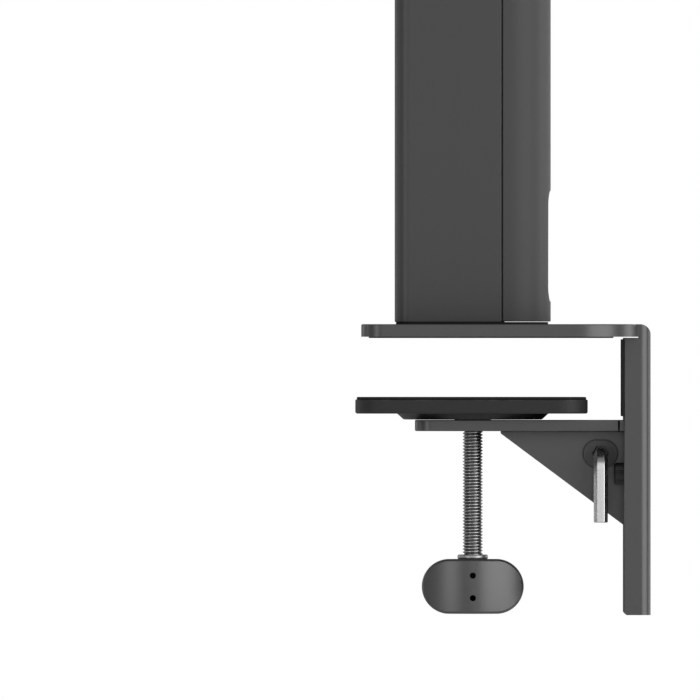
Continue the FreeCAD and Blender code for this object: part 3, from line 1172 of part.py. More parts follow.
front = body("front_knuckle")
for level in (UPPER_PIVOT, LOWER_PIVOT):
    ear = sketch(front, "XZ_Plane")
    circle(ear, FRONT_PIVOT, level, EAR)
    if level == LOWER_PIVOT:
        rectangle_part = sketch(front, "XZ_Plane")
        rectangle(rectangle_part, f"{FRONT_PIVOT} - {EAR} / 2", f"{FRONT_PIVOT} + {EAR} / 2",
                  LOWER_PIVOT, UPPER_PIVOT)
        pad(front, rectangle_part, "knuckle_width", symmetric=True)
    pad(front, ear, "knuckle_width", symmetric=True)
neck = sketch(front, "XZ_Plane")
rectangle(neck, PAN, FRONT_PIVOT, f"{PAN_HUB_UNDER} + 2", f"{PAN_HUB_TOP} - 3")
pad(front, neck, "knuckle_width - 4", symmetric=True)
hub = sketch(front, "XY_Plane", PAN_HUB_UNDER)
circle(hub, PAN, "0", "pan_hub_size")
pad(front, hub, "pan_hub_height")
fillet(front, "disc_round", lambda edge, middle, box: edge.BoundBox.ZLength < 0.01
       and middle.z > box.ZMax - 1 and middle.x < box.XMin + 25)
pins = sketch(front, "XZ_Plane")
for level in (LOWER_PIVOT, UPPER_PIVOT):
    circle(pins, FRONT_PIVOT, level, "pivot_pin_size")
pocket(front, pins, "knuckle_width + 2", symmetric=True)
bore = sketch(front, "XY_Plane", PAN_HUB_TOP)
circle(bore, PAN, "0", "pan_post_size + 2 * bush_wall")
pocket(front, bore, "pan_hub_height + 1")
node(front, "front_knuckle")
node(group([rivet(FRONT_PIVOT, UPPER_PIVOT, "upper_shell_width", "pivot_pin_size + 2 * upper_rivet_rim"),
            rivet(FRONT_PIVOT, LOWER_PIVOT, "lower_shell_width", "pivot_pin_size + 2 * lower_rivet_rim")]),
     "front_pivot_pins")
PAN_BUSH_TOP = f"({PAN_HUB_TOP} - pan_recess)"
node(tube("pan_post_size + 2 * bush_wall", "pan_post_size + 2 * pin_play",
          f"{PAN_BUSH_TOP} - {PAN_HUB_UNDER}", (PAN, "0", PAN_HUB_UNDER)), "pan_bush")

# ---- head: pan block, tilt block and VESA plate ----

BLOCK_TOP = f"({PAN_HUB_UNDER} - slide_gap)"
BLOCK_UNDER = f"({TILT_HEIGHT} - barrel_size / 2 - 1)"
pan = body("pan_block")
turned = sketch(pan, "XY_Plane", BLOCK_UNDER)
circle(turned, PAN, "0", "pan_hub_size")
pad(pan, turned, f"{BLOCK_TOP} - {BLOCK_UNDER}")
fillet(pan, "disc_round", lambda edge, middle, box: flat_at(edge, box.ZMax) or flat_at(edge, box.ZMin))
cheeks = sketch(pan, "XZ_Plane")
rectangle(cheeks, TILT, PAN, f"{TILT_HEIGHT} - barrel_size / 2", f"{TILT_HEIGHT} + barrel_size / 2")
pad(pan, cheeks, "cheek_gap + 2 * cheek_thickness", symmetric=True)
ends = sketch(pan, "XZ_Plane")
circle(ends, TILT, TILT_HEIGHT, "barrel_size")
pad(pan, ends, "cheek_gap + 2 * cheek_thickness", symmetric=True)
fork = sketch(pan, "XZ_Plane")
rectangle(fork, f"{TILT} - barrel_size", f"{PAN} - pan_hub_size / 2 - 1", f"{BLOCK_UNDER} - 1",
          f"{BLOCK_TOP} + 1")
pocket(pan, fork, "cheek_gap", symmetric=True)
bores = sketch(pan, "XZ_Plane")
circle(bores, TILT, TILT_HEIGHT, "tilt_bolt_size")
pocket(pan, bores, "cheek_gap + 2 * cheek_thickness + 2", symmetric=True)
bore = sketch(pan, "XY_Plane", BLOCK_TOP)
circle(bore, PAN, "0", "pan_post_size")
pocket(pan, bore, f"{BLOCK_TOP} - {BLOCK_UNDER} - pan_floor")
node(pan, "pan_block")

PAN_RETAINER = f"({PAN_BUSH_TOP} + slide_gap)"
node(cut(rod("pan_post_size", f"{PAN_RETAINER} - {BLOCK_UNDER} - pan_floor",
             (PAN, "0", f"{BLOCK_UNDER} + pan_floor")),
         rod("head_screw_size", "pan_screw_length + thread_room", (PAN, "0", PAN_RETAINER), "-z")), "pan_post")
node(tube("pan_post_size + 2 * bush_wall - 3 * slide_gap", "head_screw_size", "pan_retainer_thickness",
          (PAN, "0", PAN_RETAINER)), "pan_retainer")
node(cap_screw("head_screw_size", "pan_screw_length", "head_screw_rim", "pan_screw_head",
               (PAN, "0", f"({PAN_RETAINER} + pan_retainer_thickness)"), "-z"), "pan_screw")

tilt_end = "(cheek_gap / 2 + cheek_thickness)"
node(cap_screw("tilt_bolt_size", f"2 * {tilt_end} + tilt_bolt_end", "tilt_bolt_rim", "tilt_bolt_head",
               (TILT, f"-{tilt_end}", TILT_HEIGHT), "y"), "tilt_bolt")
node(cut(hexagon("tilt_bolt_rim", "tilt_nut_height", (TILT, tilt_end, TILT_HEIGHT), "y"),
         rod("tilt_bolt_size", "tilt_nut_height", (TILT, tilt_end, TILT_HEIGHT), "y")), "tilt_nut")
BARREL_HALF = "(cheek_gap / 2 - washer_thickness - slide_gap)"
node(group([
    tube("barrel_size - 2", "tilt_bolt_size", "washer_thickness",
         (TILT, "-cheek_gap / 2", TILT_HEIGHT), "y"),
    tube("barrel_size - 2", "tilt_bolt_size", "washer_thickness",
         (TILT, "cheek_gap / 2", TILT_HEIGHT), "-y")]), "tilt_washers")

tilt = body("tilt_block")
barrel = sketch(tilt, "XZ_Plane")
circle(barrel, TILT, TILT_HEIGHT, "barrel_size - 1")
pad(tilt, barrel, f"2 * {BARREL_HALF}", symmetric=True)
neck = sketch(tilt, "XZ_Plane")
rectangle(neck, f"{FLANGE_FRONT} + 2", TILT,
          f"{TILT_HEIGHT} - tilt_neck_height / 2", f"{TILT_HEIGHT} + tilt_neck_height / 2")
pad(tilt, neck, f"2 * {BARREL_HALF} - 2", symmetric=True)
flange = sketch(tilt, "YZ_Plane", FLANGE_FRONT)
circle(flange, "0", TILT_HEIGHT, "flange_size")
pad(tilt, flange, "head_flange_thickness")
fillet(tilt, "disc_round", lambda edge, middle, box: edge.BoundBox.ZLength > box.ZLength - 0.1)
bore = sketch(tilt, "XZ_Plane")
circle(bore, TILT, TILT_HEIGHT, "tilt_bolt_size + 2 * pin_play")
pocket(tilt, bore, "cheek_gap", symmetric=True)
tapped = sketch(tilt, "YZ_Plane", FLANGE_FRONT)
circle(tapped, "0", TILT_HEIGHT, "head_screw_size")
pocket(tilt, tapped, "rotation_screw_length", reverse=True)
node(tilt, "tilt_block")
node(tube("flange_size - 2 * flange_rim", "head_screw_size", "washer_thickness",
          (FLANGE_FRONT, "0", TILT_HEIGHT), "-x"), "rotation_washer")

vesa = body("vesa_plate")
plate = sketch(vesa, "YZ_Plane", VESA_FACE)
rectangle(plate, "-vesa_width / 2", "vesa_width / 2",
          f"{TILT_HEIGHT} - vesa_width / 2", f"{TILT_HEIGHT} + vesa_width / 2")
pad(vesa, plate, "vesa_thickness")
fillet(vesa, "vesa_radius", lambda edge, middle, box: lies_along(edge, "x"))
dish = sketch(vesa, "YZ_Plane", VESA_FACE)
circle(dish, "0", TILT_HEIGHT, "flange_size + 2 * (dish_wall - dish_play)")
pad(vesa, dish, "vesa_dish + vesa_thickness")
hollow = sketch(vesa, "YZ_Plane", VESA_FACE)
circle(hollow, "0", TILT_HEIGHT, "flange_size - 2 * dish_play")
pocket(vesa, hollow, "vesa_dish", reverse=True)
bore = sketch(vesa, "YZ_Plane", VESA_FACE)
circle(bore, "0", TILT_HEIGHT, "head_screw_size + 2 * pin_play")
pocket(vesa, bore, "vesa_dish + vesa_thickness + 1", reverse=True)
holes = sketch(vesa, "YZ_Plane", VESA_FACE)
for spacing in (100, 75):
    for side_sign in (-1, 1):
        for up_sign in (-1, 1):
            circle(holes, f"{side_sign * spacing / 2}", f"{TILT_HEIGHT} + {up_sign * spacing / 2}",
                   "vesa_hole_size")
pocket(vesa, holes, "vesa_thickness + 1", reverse=True)
fillet(vesa, "vesa_round", lambda edge, middle, box: abs(middle.x - box.XMin) < 0.01
       and edge.BoundBox.XLength < 0.01 and max(abs(middle.y), abs(middle.z - box.Center.z)) > box.YMax - 8
       and edge.Length > 8.5 * math.pi / 2)
node(vesa, "vesa_plate")
DISH_FLOOR = f"({VESA_FACE} + vesa_dish)"
node(tube("rotation_retainer_size", "head_screw_size", "rotation_retainer_thickness",
          (f"{DISH_FLOOR} - slide_gap", "0", TILT_HEIGHT), "-x"), "rotation_retainer")
node(cap_screw("head_screw_size", "rotation_screw_length", "head_screw_rim", "rotation_screw_head",
               (f"{DISH_FLOOR} - slide_gap - rotation_retainer_thickness", "0", TILT_HEIGHT), "x"),
     "rotation_screw")

# ---- check and write ----

doc.recompute()
for thing in doc.Objects:
    if "Invalid" in thing.State or "Error" in thing.State:
        raise ValueError(f"{thing.Name} ({thing.Label}) failed: {thing.State}")
for thing in nodes:
    if thing.Shape.isNull() or not thing.Shape.isValid() or not thing.Shape.Solids:
        raise ValueError(f"{thing.Label} has no valid shape")
os.makedirs("parts", exist_ok=True)
for thing in nodes:
    thing.Shape.exportStep(f"parts/{thing.Label}.step")
print(f"{len(nodes)} pieces written")
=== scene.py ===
import json
import math

import bmesh
import bpy
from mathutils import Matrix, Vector

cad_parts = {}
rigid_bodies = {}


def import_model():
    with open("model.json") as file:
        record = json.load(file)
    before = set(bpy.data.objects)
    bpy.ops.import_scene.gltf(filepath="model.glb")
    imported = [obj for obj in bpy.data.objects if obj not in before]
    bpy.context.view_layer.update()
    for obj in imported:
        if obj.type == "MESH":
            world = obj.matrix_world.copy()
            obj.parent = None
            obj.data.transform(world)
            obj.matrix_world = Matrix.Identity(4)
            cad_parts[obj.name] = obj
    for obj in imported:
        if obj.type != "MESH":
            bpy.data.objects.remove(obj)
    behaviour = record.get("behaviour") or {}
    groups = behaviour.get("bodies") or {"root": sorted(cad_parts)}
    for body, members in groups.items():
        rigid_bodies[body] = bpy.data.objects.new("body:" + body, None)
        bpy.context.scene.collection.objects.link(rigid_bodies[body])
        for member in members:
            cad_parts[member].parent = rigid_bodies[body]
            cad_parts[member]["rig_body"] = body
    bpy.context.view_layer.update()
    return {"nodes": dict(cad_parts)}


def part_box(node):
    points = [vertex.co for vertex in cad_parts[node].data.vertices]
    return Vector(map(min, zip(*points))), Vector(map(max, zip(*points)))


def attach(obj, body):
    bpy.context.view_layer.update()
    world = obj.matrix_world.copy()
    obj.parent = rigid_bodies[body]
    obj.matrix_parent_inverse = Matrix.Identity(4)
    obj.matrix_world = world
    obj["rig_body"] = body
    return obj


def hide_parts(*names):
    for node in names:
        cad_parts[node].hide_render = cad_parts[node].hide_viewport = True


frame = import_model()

# ---- The studio ----
# A pale floor well below the arm, white all round it, and upright soft boxes. The camera has a
# long lens, stands level at the height of the clamp and looks along +Y at the arm's side.

VIEW_WIDTH = 0.280
VIEW_CENTRE = Vector((-0.0491, 0.0, -0.0048))
SENSOR = 36.0
LENS = 1600.0
FLOOR_HEIGHT = -0.45
FLOOR_SIDE = 6.0


def node_in(tree, kind, inputs=None, **settings):
    """Add a shader node; an input is a number, a colour or another node's output."""
    made = tree.nodes.new("ShaderNode" + kind)
    for name, value in settings.items():
        setattr(made, name, value)
    for name, value in (inputs or {}).items():
        if isinstance(value, bpy.types.NodeSocket):
            tree.links.new(value, made.inputs[name])
        else:
            made.inputs[name].default_value = value
    return made


view = bpy.data.cameras.new("side_view")
view.lens = LENS
view.sensor_width = SENSOR
view.clip_start = 0.1
view.clip_end = 60.0
camera = bpy.data.objects.new("side_view", view)
bpy.context.collection.objects.link(camera)
camera.location = VIEW_CENTRE - Vector((0, VIEW_WIDTH * LENS / SENSOR, 0))
camera.rotation_euler = (math.pi / 2, 0, 0)
bpy.context.scene.camera = camera
bpy.context.scene.view_settings.view_transform = "Standard"

world = bpy.data.worlds.new("studio")
bpy.context.scene.world = world
world.use_nodes = True
air = world.node_tree
air.nodes.clear()
seen = node_in(air, "Background", {"Color": (1, 1, 1, 1), "Strength": 1.0})
lit = node_in(air, "Background", {"Color": (1, 1, 1, 1), "Strength": 0.28})
chosen = node_in(air, "MixShader", {"Fac": node_in(air, "LightPath").outputs["Is Camera Ray"]})
air.links.new(lit.outputs[0], chosen.inputs[1])
air.links.new(seen.outputs[0], chosen.inputs[2])
air.links.new(chosen.outputs[0], node_in(air, "OutputWorld").inputs["Surface"])

# name, degrees to the right of the camera, degrees up, distance, width, height, watts
SOFT_BOXES = [
    ("front_box", 0, 12, 2.2, 1.1, 1.6, 4.5),
    ("left_box", -36, 2, 2.0, 0.45, 1.6, 6.5),
    ("left_strip", -90, 2, 2.0, 0.4, 1.6, 2.5),
    ("left_rim", -128, 4, 2.0, 0.5, 1.6, 3),
    ("right_box", 50, 2, 2.0, 2.0, 1.6, 28),
    ("right_flank", 118, 2, 2.0, 1.0, 1.6, 8),
    ("right_rim", 160, 4, 2.0, 0.5, 1.6, 3),
    ("overhead", 20, 84, 2.0, 1.4, 1.4, 2),
]
for name, aside, up, far, wide, tall, watts in SOFT_BOXES:
    box = bpy.data.lights.new(name, "AREA")
    box.shape = "RECTANGLE"
    box.size = wide
    box.size_y = tall
    box.energy = watts
    lamp = bpy.data.objects.new(name, box)
    bpy.context.collection.objects.link(lamp)
    aside, up = math.radians(aside), math.radians(up)
    toward = Vector((math.sin(aside) * math.cos(up), -math.cos(aside) * math.cos(up), math.sin(up)))
    lamp.location = VIEW_CENTRE + toward * far
    lamp.rotation_euler = toward.to_track_quat("Z", "Y").to_euler()
    lamp.visible_camera = False

bpy.ops.object.select_all(action="DESELECT")
bpy.ops.mesh.primitive_plane_add(size=FLOOR_SIDE, location=(0, 0, FLOOR_HEIGHT))
floor = bpy.context.object
floor.name = "studio_floor"
paper = bpy.data.materials.new("floor_paper")
paper.use_nodes = True
mottle = node_in(paper.node_tree, "TexNoise", {
    "Vector": node_in(paper.node_tree, "TexCoord").outputs["Object"], "Scale": 9.0, "Detail": 4.0})
tint = node_in(paper.node_tree, "MapRange", {
    "Value": mottle.outputs["Fac"], "To Min": 0.86, "To Max": 0.90})
sheet = paper.node_tree.nodes["Principled BSDF"]
sheet.inputs["Roughness"].default_value = 0.8
paper.node_tree.links.new(tint.outputs[0], sheet.inputs["Base Color"])
floor.data.materials.append(paper)

# ---- Upper bracket ----
# One piece of 5 mm steel plate: the top plate, the bend and the channel that hangs behind the
# desk. It is bent, deburred and powder coated in satin black.


def group_of(name, inputs, outputs):
    """A node group with its sockets, and its own input and output nodes."""
    group = bpy.data.node_groups.new(name, "ShaderNodeTree")
    for label, kind, value in inputs:
        socket = group.interface.new_socket(label, in_out="INPUT", socket_type="NodeSocket" + kind)
        socket.default_value = value
    for label, kind in outputs:
        group.interface.new_socket(label, in_out="OUTPUT", socket_type="NodeSocket" + kind)
    return group, group.nodes.new("NodeGroupInput"), group.nodes.new("NodeGroupOutput")


# fine grain, as powder, moulding or drawing leaves it, and slow drifts of tone over a surface
grain_group, given, gives = group_of(
    "surface_grain",
    [("Grain", "Float", 0.0004), ("Drift", "Float", 0.03), ("Depth", "Float", 0.00001),
     ("Stretch", "Vector", (1, 1, 1))],
    [("Fine", "Float"), ("Cloud", "Float"), ("Normal", "Vector")])
laid = node_in(grain_group, "VectorMath", {
    0: node_in(grain_group, "TexCoord").outputs["Object"], 1: given.outputs["Stretch"]},
    operation="MULTIPLY")
fineness = node_in(grain_group, "Math", {0: 1.0, 1: given.outputs["Grain"]}, operation="DIVIDE")
fine = node_in(grain_group, "TexNoise", {
    "Vector": laid.outputs[0], "Scale": fineness.outputs[0], "Detail": 3.0, "Roughness": 0.6})
slowness = node_in(grain_group, "Math", {0: 1.0, 1: given.outputs["Drift"]}, operation="DIVIDE")
cloud = node_in(grain_group, "TexNoise", {
    "Vector": laid.outputs[0], "Scale": slowness.outputs[0], "Detail": 4.0, "Roughness": 0.55})
relief = node_in(grain_group, "Bump", {
    "Strength": 1.0, "Distance": given.outputs["Depth"], "Height": fine.outputs["Fac"]})
grain_group.links.new(fine.outputs["Fac"], gives.inputs["Fine"])
grain_group.links.new(cloud.outputs["Fac"], gives.inputs["Cloud"])
grain_group.links.new(relief.outputs["Normal"], gives.inputs["Normal"])

# where an edge has been rubbed: a broken line along the convex edges
wear_group, given, gives = group_of(
    "rubbed_edges", [("Reach", "Float", 0.0003), ("Patch", "Float", 0.006)], [("Mask", "Float")])
surface_of = node_in(wear_group, "NewGeometry")
convex = node_in(wear_group, "MapRange", {
    "Value": surface_of.outputs["Pointiness"], "From Min": 0.50, "From Max": 0.53})
rounded = node_in(wear_group, "Bevel", {"Radius": given.outputs["Reach"]}, samples=4)
alike = node_in(wear_group, "VectorMath", {
    0: rounded.outputs["Normal"], 1: surface_of.outputs["True Normal"]}, operation="DOT_PRODUCT")
near = node_in(wear_group, "MapRange", {
    "Value": alike.outputs["Value"], "From Min": 0.99, "From Max": 0.90})
edge = node_in(wear_group, "Math", {0: near.outputs[0], 1: convex.outputs[0]}, operation="MULTIPLY")
patchiness = node_in(wear_group, "Math", {0: 1.0, 1: given.outputs["Patch"]}, operation="DIVIDE")
patch = node_in(wear_group, "TexNoise", {
    "Vector": node_in(wear_group, "TexCoord").outputs["Object"], "Scale": patchiness.outputs[0],
    "Detail": 2.0})
broken = node_in(wear_group, "MapRange", {
    "Value": patch.outputs["Fac"], "From Min": 0.42, "From Max": 0.62})
rubbed = node_in(wear_group, "Math", {0: edge.outputs[0], 1: broken.outputs[0]}, operation="MULTIPLY")
wear_group.links.new(rubbed.outputs[0], gives.inputs["Mask"])


def grey(level):
    """A neutral tone."""
    return (level, level, level, 1)


def coated(name, tones, rough, grain, depth, drift=0.03, stretch=(1, 1, 1), rub=0.25, bare=0.30,
           metal=0.0, coat=0.0, shine=0.5):
    """A finish from its darkest and lightest grey and its range of roughness.

    Grain and drift are the sizes of its fine grain and of its slow changes of tone, and depth is
    the grain's relief. Rub is how much of the bare material shows where an edge is rubbed.
    """
    finish = bpy.data.materials.new(name)
    finish.use_nodes = True
    tree = finish.node_tree
    skin = tree.nodes["Principled BSDF"]
    surface = tree.nodes.new("ShaderNodeGroup")
    surface.node_tree = grain_group
    surface.inputs["Grain"].default_value = grain
    surface.inputs["Drift"].default_value = drift
    surface.inputs["Depth"].default_value = depth
    surface.inputs["Stretch"].default_value = stretch
    edges = tree.nodes.new("ShaderNodeGroup")
    edges.node_tree = wear_group
    blotch = node_in(tree, "Math", {0: surface.outputs["Fine"], 1: surface.outputs["Cloud"]},
                     operation="ADD")
    shade = node_in(tree, "MapRange", {"Value": blotch.outputs[0], "From Min": 0.7, "From Max": 1.3})
    tone = node_in(tree, "Mix", {"Factor": shade.outputs[0], 6: grey(tones[0]), 7: grey(tones[1])},
                   data_type="RGBA")
    worn = node_in(tree, "Math", {0: edges.outputs["Mask"], 1: rub}, operation="MULTIPLY")
    colour = node_in(tree, "Mix", {"Factor": worn.outputs[0], 6: tone.outputs[2], 7: grey(bare)},
                     data_type="RGBA")
    polish = node_in(tree, "MapRange", {
        "Value": surface.outputs["Fine"], "From Min": 0.3, "From Max": 0.7,
        "To Min": rough[0], "To Max": rough[1]})
    tree.links.new(colour.outputs[2], skin.inputs["Base Color"])
    tree.links.new(polish.outputs[0], skin.inputs["Roughness"])
    tree.links.new(surface.outputs["Normal"], skin.inputs["Normal"])
    skin.inputs["Metallic"].default_value = metal
    skin.inputs["Coat Weight"].default_value = coat
    skin.inputs["Specular IOR Level"].default_value = shine
    return finish


def alone(piece):
    """Select one object only and make it the active one."""
    bpy.ops.object.select_all(action="DESELECT")
    piece.select_set(True)
    bpy.context.view_layer.objects.active = piece


def smoothed(piece, angle=32, has_flats=True):
    """Shade a finished piece smooth, except over its real edges, and keep its flats flat."""
    alone(piece)
    bpy.ops.object.shade_smooth_by_angle(angle=math.radians(angle))
    if not has_flats:
        return
    flats = piece.modifiers.new("true flats", "WEIGHTED_NORMAL")
    flats.keep_sharp = True
    bpy.ops.object.modifier_apply(modifier=flats.name)


SHARP_ANGLE = 35


def broken_edges(piece, width, segments=2, angle=SHARP_ANGLE):
    """Round a piece's sharp edges by a small radius."""
    alone(piece)
    radius = piece.modifiers.new("broken edges", "BEVEL")
    radius.width = width
    radius.segments = segments
    radius.limit_method = "ANGLE"
    radius.angle_limit = math.radians(angle)
    radius.use_clamp_overlap = False
    radius.miter_outer = "MITER_ARC"
    bpy.ops.object.modifier_apply(modifier=radius.name)


def choose(kind, test):
    """In edit mode, select only the verts, edges or faces that pass a test of item and middle."""
    bpy.ops.mesh.select_mode(type={"verts": "VERT", "edges": "EDGE", "faces": "FACE"}[kind])
    bpy.ops.mesh.select_all(action="DESELECT")
    mesh = bpy.context.object.data
    edit = bmesh.from_edit_mesh(mesh)
    for item in getattr(edit, kind):
        if kind == "verts":
            middle = item.co
        elif kind == "edges":
            middle = (item.verts[0].co + item.verts[1].co) / 2
        else:
            middle = item.calc_center_median()
        if test(item, middle):
            item.select_set(True)
    edit.select_flush_mode()
    bmesh.update_edit_mesh(mesh)


WELD_DISTANCE = 1e-6
FLAT_ANGLE = 0.4


def eased(node, width, angle=SHARP_ANGLE):
    """A copy of a frame node, welded up and with its sharp edges broken."""
    piece = bpy.data.objects.new(node + "_finished", frame["nodes"][node].data.copy())
    bpy.context.collection.objects.link(piece)
    piece.data.materials.clear()
    alone(piece)
    bpy.ops.mesh.customdata_custom_splitnormals_clear()
    bpy.ops.object.mode_set(mode="EDIT")
    bpy.ops.mesh.select_all(action="SELECT")
    bpy.ops.mesh.remove_doubles(threshold=WELD_DISTANCE)
    bpy.ops.mesh.dissolve_limited(angle_limit=math.radians(FLAT_ANGLE))
    bpy.ops.object.mode_set(mode="OBJECT")
    if width:
        broken_edges(piece, width, angle=angle)
    smoothed(piece)
    return piece


def install(piece, node, finish):
    """Give a piece its finish and put it in the place of a frame node, on that node's body."""
    piece.data.materials.clear()
    piece.data.materials.append(finish)
    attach(piece, frame["nodes"][node]["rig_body"])
    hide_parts(node)


PLATE_EDGE = 0.0004
UNDER_PLATE = 0.001
SHORTEST_EDGE = 0.002

bracket_coat = coated("bracket_powder_coat", (0.0270, 0.0282), (0.33, 0.37), 0.00013, 0.000002,
                      drift=0.06, shine=0.85)
bracket = eased("upper_bracket", 0)
low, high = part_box("upper_bracket")
plate_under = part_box("top_pad")[1].z
alone(bracket)
bpy.ops.object.mode_set(mode="EDIT")
choose("edges", lambda edge, middle: len(edge.link_faces) == 2 and middle.z < plate_under - UNDER_PLATE
       and edge.calc_face_angle() > math.radians(SHARP_ANGLE) and edge.calc_length() > SHORTEST_EDGE
       and abs(middle.y) > high.y / 5)
bpy.ops.mesh.bevel(offset=PLATE_EDGE, segments=2, affect="EDGES")
bpy.ops.object.mode_set(mode="OBJECT")
smoothed(bracket)
install(bracket, "upper_bracket", bracket_coat)

# ---- Pads ----
# Die-cut sheets of closed-cell foam rubber, stuck under the top plate and against the desk's
# edge, on the pressure plate, and as a gasket under the column. Their cut rims are soft.

foam_rubber = coated("foam_rubber", (0.010, 0.016), (0.75, 0.92), 0.00035, 0.00006, drift=0.008,
                     rub=0.0, shine=0.25)
for node, rim in (("top_pad", 0.00015), ("edge_pad", 0.00025), ("pressure_pad", 0.00030),
                  ("column_foot", 0.00020)):
    pad = eased(node, rim)
    install(pad, node, foam_rubber)

# ---- Lower bracket, gussets, key grommets ----
# A second bent plate slides on the channel and carries the screw. Two triangular gussets are
# welded under it, and nylon grommets pressed into them hold the stored hex key. A shallow seat
# is milled round each grommet's flange.

SEAT_GAP = 0.0005
SEAT_DEPTH = 0.0012
KEY_HOLE_RADIUS = 0.0034
KEY_HOLE_DEPTH = 0.0012
GUSSET_EDGE = 0.00025
LIGHT_EDGE = 0.0003


def settled(name, piece):
    """Name a new piece and put its place into its mesh."""
    alone(piece)
    piece.name = name
    bpy.ops.object.transform_apply(location=True, rotation=True, scale=True)
    return piece


def carved(piece, tool):
    """Cut another mesh out of a piece, and remove the tool."""
    alone(piece)
    cutter = piece.modifiers.new("carved", "BOOLEAN")
    cutter.object = tool
    cutter.operation = "DIFFERENCE"
    cutter.solver = "EXACT"
    bpy.ops.object.modifier_apply(modifier=cutter.name)
    bpy.data.objects.remove(tool)
    return piece


install(eased("lower_bracket", PLATE_EDGE), "lower_bracket", bracket_coat)
gussets = eased("gussets", GUSSET_EDGE)
seat_low, seat_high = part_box("key_grommets")
face_low, face_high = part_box("gussets")
seat_radius = (seat_high.z - seat_low.z) / 2
middle_x = (seat_low.x + seat_high.x) / 2
seat_level = (seat_low.z + seat_high.z) / 2
for face in (face_low.y, face_high.y):
    bpy.ops.mesh.primitive_circle_add(
        vertices=64, radius=seat_radius + SEAT_GAP, fill_type="NGON", rotation=(math.pi / 2, 0, 0),
        location=(middle_x, face - SEAT_DEPTH, seat_level))
    seat = settled("grommet_seat", bpy.context.object)
    bpy.ops.object.mode_set(mode="EDIT")
    for side in (-1, 1):
        choose("verts", lambda vert, middle: (middle.x - middle_x) * side > WELD_DISTANCE)
        bpy.ops.transform.translate(value=(side * ((seat_high.x - seat_low.x) / 2 - seat_radius), 0, 0))
    bpy.ops.mesh.select_all(action="SELECT")
    bpy.ops.mesh.extrude_region_move(TRANSFORM_OT_translate={"value": (0, 2 * SEAT_DEPTH, 0)})
    bpy.ops.mesh.select_all(action="SELECT")
    bpy.ops.mesh.normals_make_consistent(inside=False)
    bpy.ops.object.mode_set(mode="OBJECT")
    carved(gussets, seat)
smoothed(gussets)
install(gussets, "gussets", bracket_coat)
nylon = coated("black_nylon", (0.040, 0.046), (0.42, 0.55), 0.0006, 0.000010, drift=0.015,
               rub=0.15, bare=0.09)
grommets = eased("key_grommets", LIGHT_EDGE)
for face in (seat_low.y, seat_high.y):
    bpy.ops.mesh.primitive_cylinder_add(
        vertices=6, radius=KEY_HOLE_RADIUS, depth=2 * KEY_HOLE_DEPTH, location=(middle_x, face, seat_level),
        rotation=(math.pi / 2, math.pi / 6, 0))
    carved(grommets, bpy.context.object)
smoothed(grommets)
install(grommets, "key_grommets", nylon)

# ---- Bracket bolts and their washers ----
# M5 socket cap screws in black oxide, with a knurled head, that hold the lower bracket to the
# channel. A thin washer lies under each head.

BOLT_HEAD_RADIUS = 0.00425
BOLT_HEAD_HEIGHT = 0.005
BOLT_SOCKET_RADIUS = 0.0023
BOLT_SOCKET_SHARE = 0.55
BOLT_SHANK_RADIUS = 0.00245
BOLT_FACE_RIM = 0.0007
BOLT_CHAMFER = 0.0006
KNURLS = 36
KNURL_ROOT_SHARE = 0.965
RIM_SHARE = 0.95
WASHER_EDGE = 0.0001


def joined(pieces):
    """Several meshes of one real piece, as one object."""
    bpy.ops.object.select_all(action="DESELECT")
    for piece in pieces:
        piece.select_set(True)
    bpy.context.view_layer.objects.active = pieces[0]
    bpy.ops.object.join()
    return pieces[0]


black_oxide = coated("black_oxide_steel", (0.020, 0.028), (0.28, 0.42), 0.0005, 0.000006, drift=0.004,
                     rub=0.35, bare=0.22, metal=0.6)
bolt_low, bolt_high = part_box("bracket_bolts")
under_head = bolt_low.x + BOLT_HEAD_HEIGHT
bolt_level = (bolt_low.z + bolt_high.z) / 2
bolts = []
for aside in (bolt_low.y + BOLT_HEAD_RADIUS, bolt_high.y - BOLT_HEAD_RADIUS):
    axis = Vector((under_head, aside, bolt_level))
    bpy.ops.object.select_all(action="DESELECT")
    bpy.ops.mesh.primitive_cylinder_add(
        vertices=2 * KNURLS, radius=BOLT_HEAD_RADIUS, depth=BOLT_HEAD_HEIGHT,
        location=axis - Vector((BOLT_HEAD_HEIGHT / 2, 0, 0)), rotation=(0, math.pi / 2, 0))
    head = settled("bolt_head", bpy.context.object)
    bpy.ops.object.mode_set(mode="EDIT")
    choose("faces", lambda face, middle: face.normal.x < -0.9)
    bpy.ops.mesh.inset(thickness=BOLT_FACE_RIM)
    choose("verts", lambda vert, middle: middle.x < axis.x - BOLT_HEAD_HEIGHT * RIM_SHARE
           and (middle - axis).yz.length > BOLT_HEAD_RADIUS * RIM_SHARE)
    bpy.ops.transform.translate(value=(BOLT_CHAMFER, 0, 0))
    choose("verts", lambda vert, middle: (middle - axis).yz.length > BOLT_HEAD_RADIUS * RIM_SHARE
           and round(math.atan2(middle.z - axis.z, middle.y - axis.y) * KNURLS / math.pi) % 2 == 0)
    bpy.ops.transform.resize(value=(1, KNURL_ROOT_SHARE, KNURL_ROOT_SHARE), center_override=axis)
    bpy.ops.object.mode_set(mode="OBJECT")
    bpy.ops.mesh.primitive_cylinder_add(
        vertices=6, radius=BOLT_SOCKET_RADIUS, depth=2 * BOLT_HEAD_HEIGHT * BOLT_SOCKET_SHARE,
        location=axis - Vector((BOLT_HEAD_HEIGHT, 0, 0)), rotation=(0, math.pi / 2, 0))
    carved(head, bpy.context.object)
    shank_length = bolt_high.x - under_head
    bpy.ops.mesh.primitive_cylinder_add(
        vertices=40, radius=BOLT_SHANK_RADIUS, depth=shank_length,
        location=axis + Vector((shank_length / 2, 0, 0)), rotation=(0, math.pi / 2, 0))
    shank = settled("bolt_shank", bpy.context.object)
    broken_edges(shank, PLATE_EDGE, segments=1)
    bolts += [head, shank]
bracket_bolts = joined(bolts)
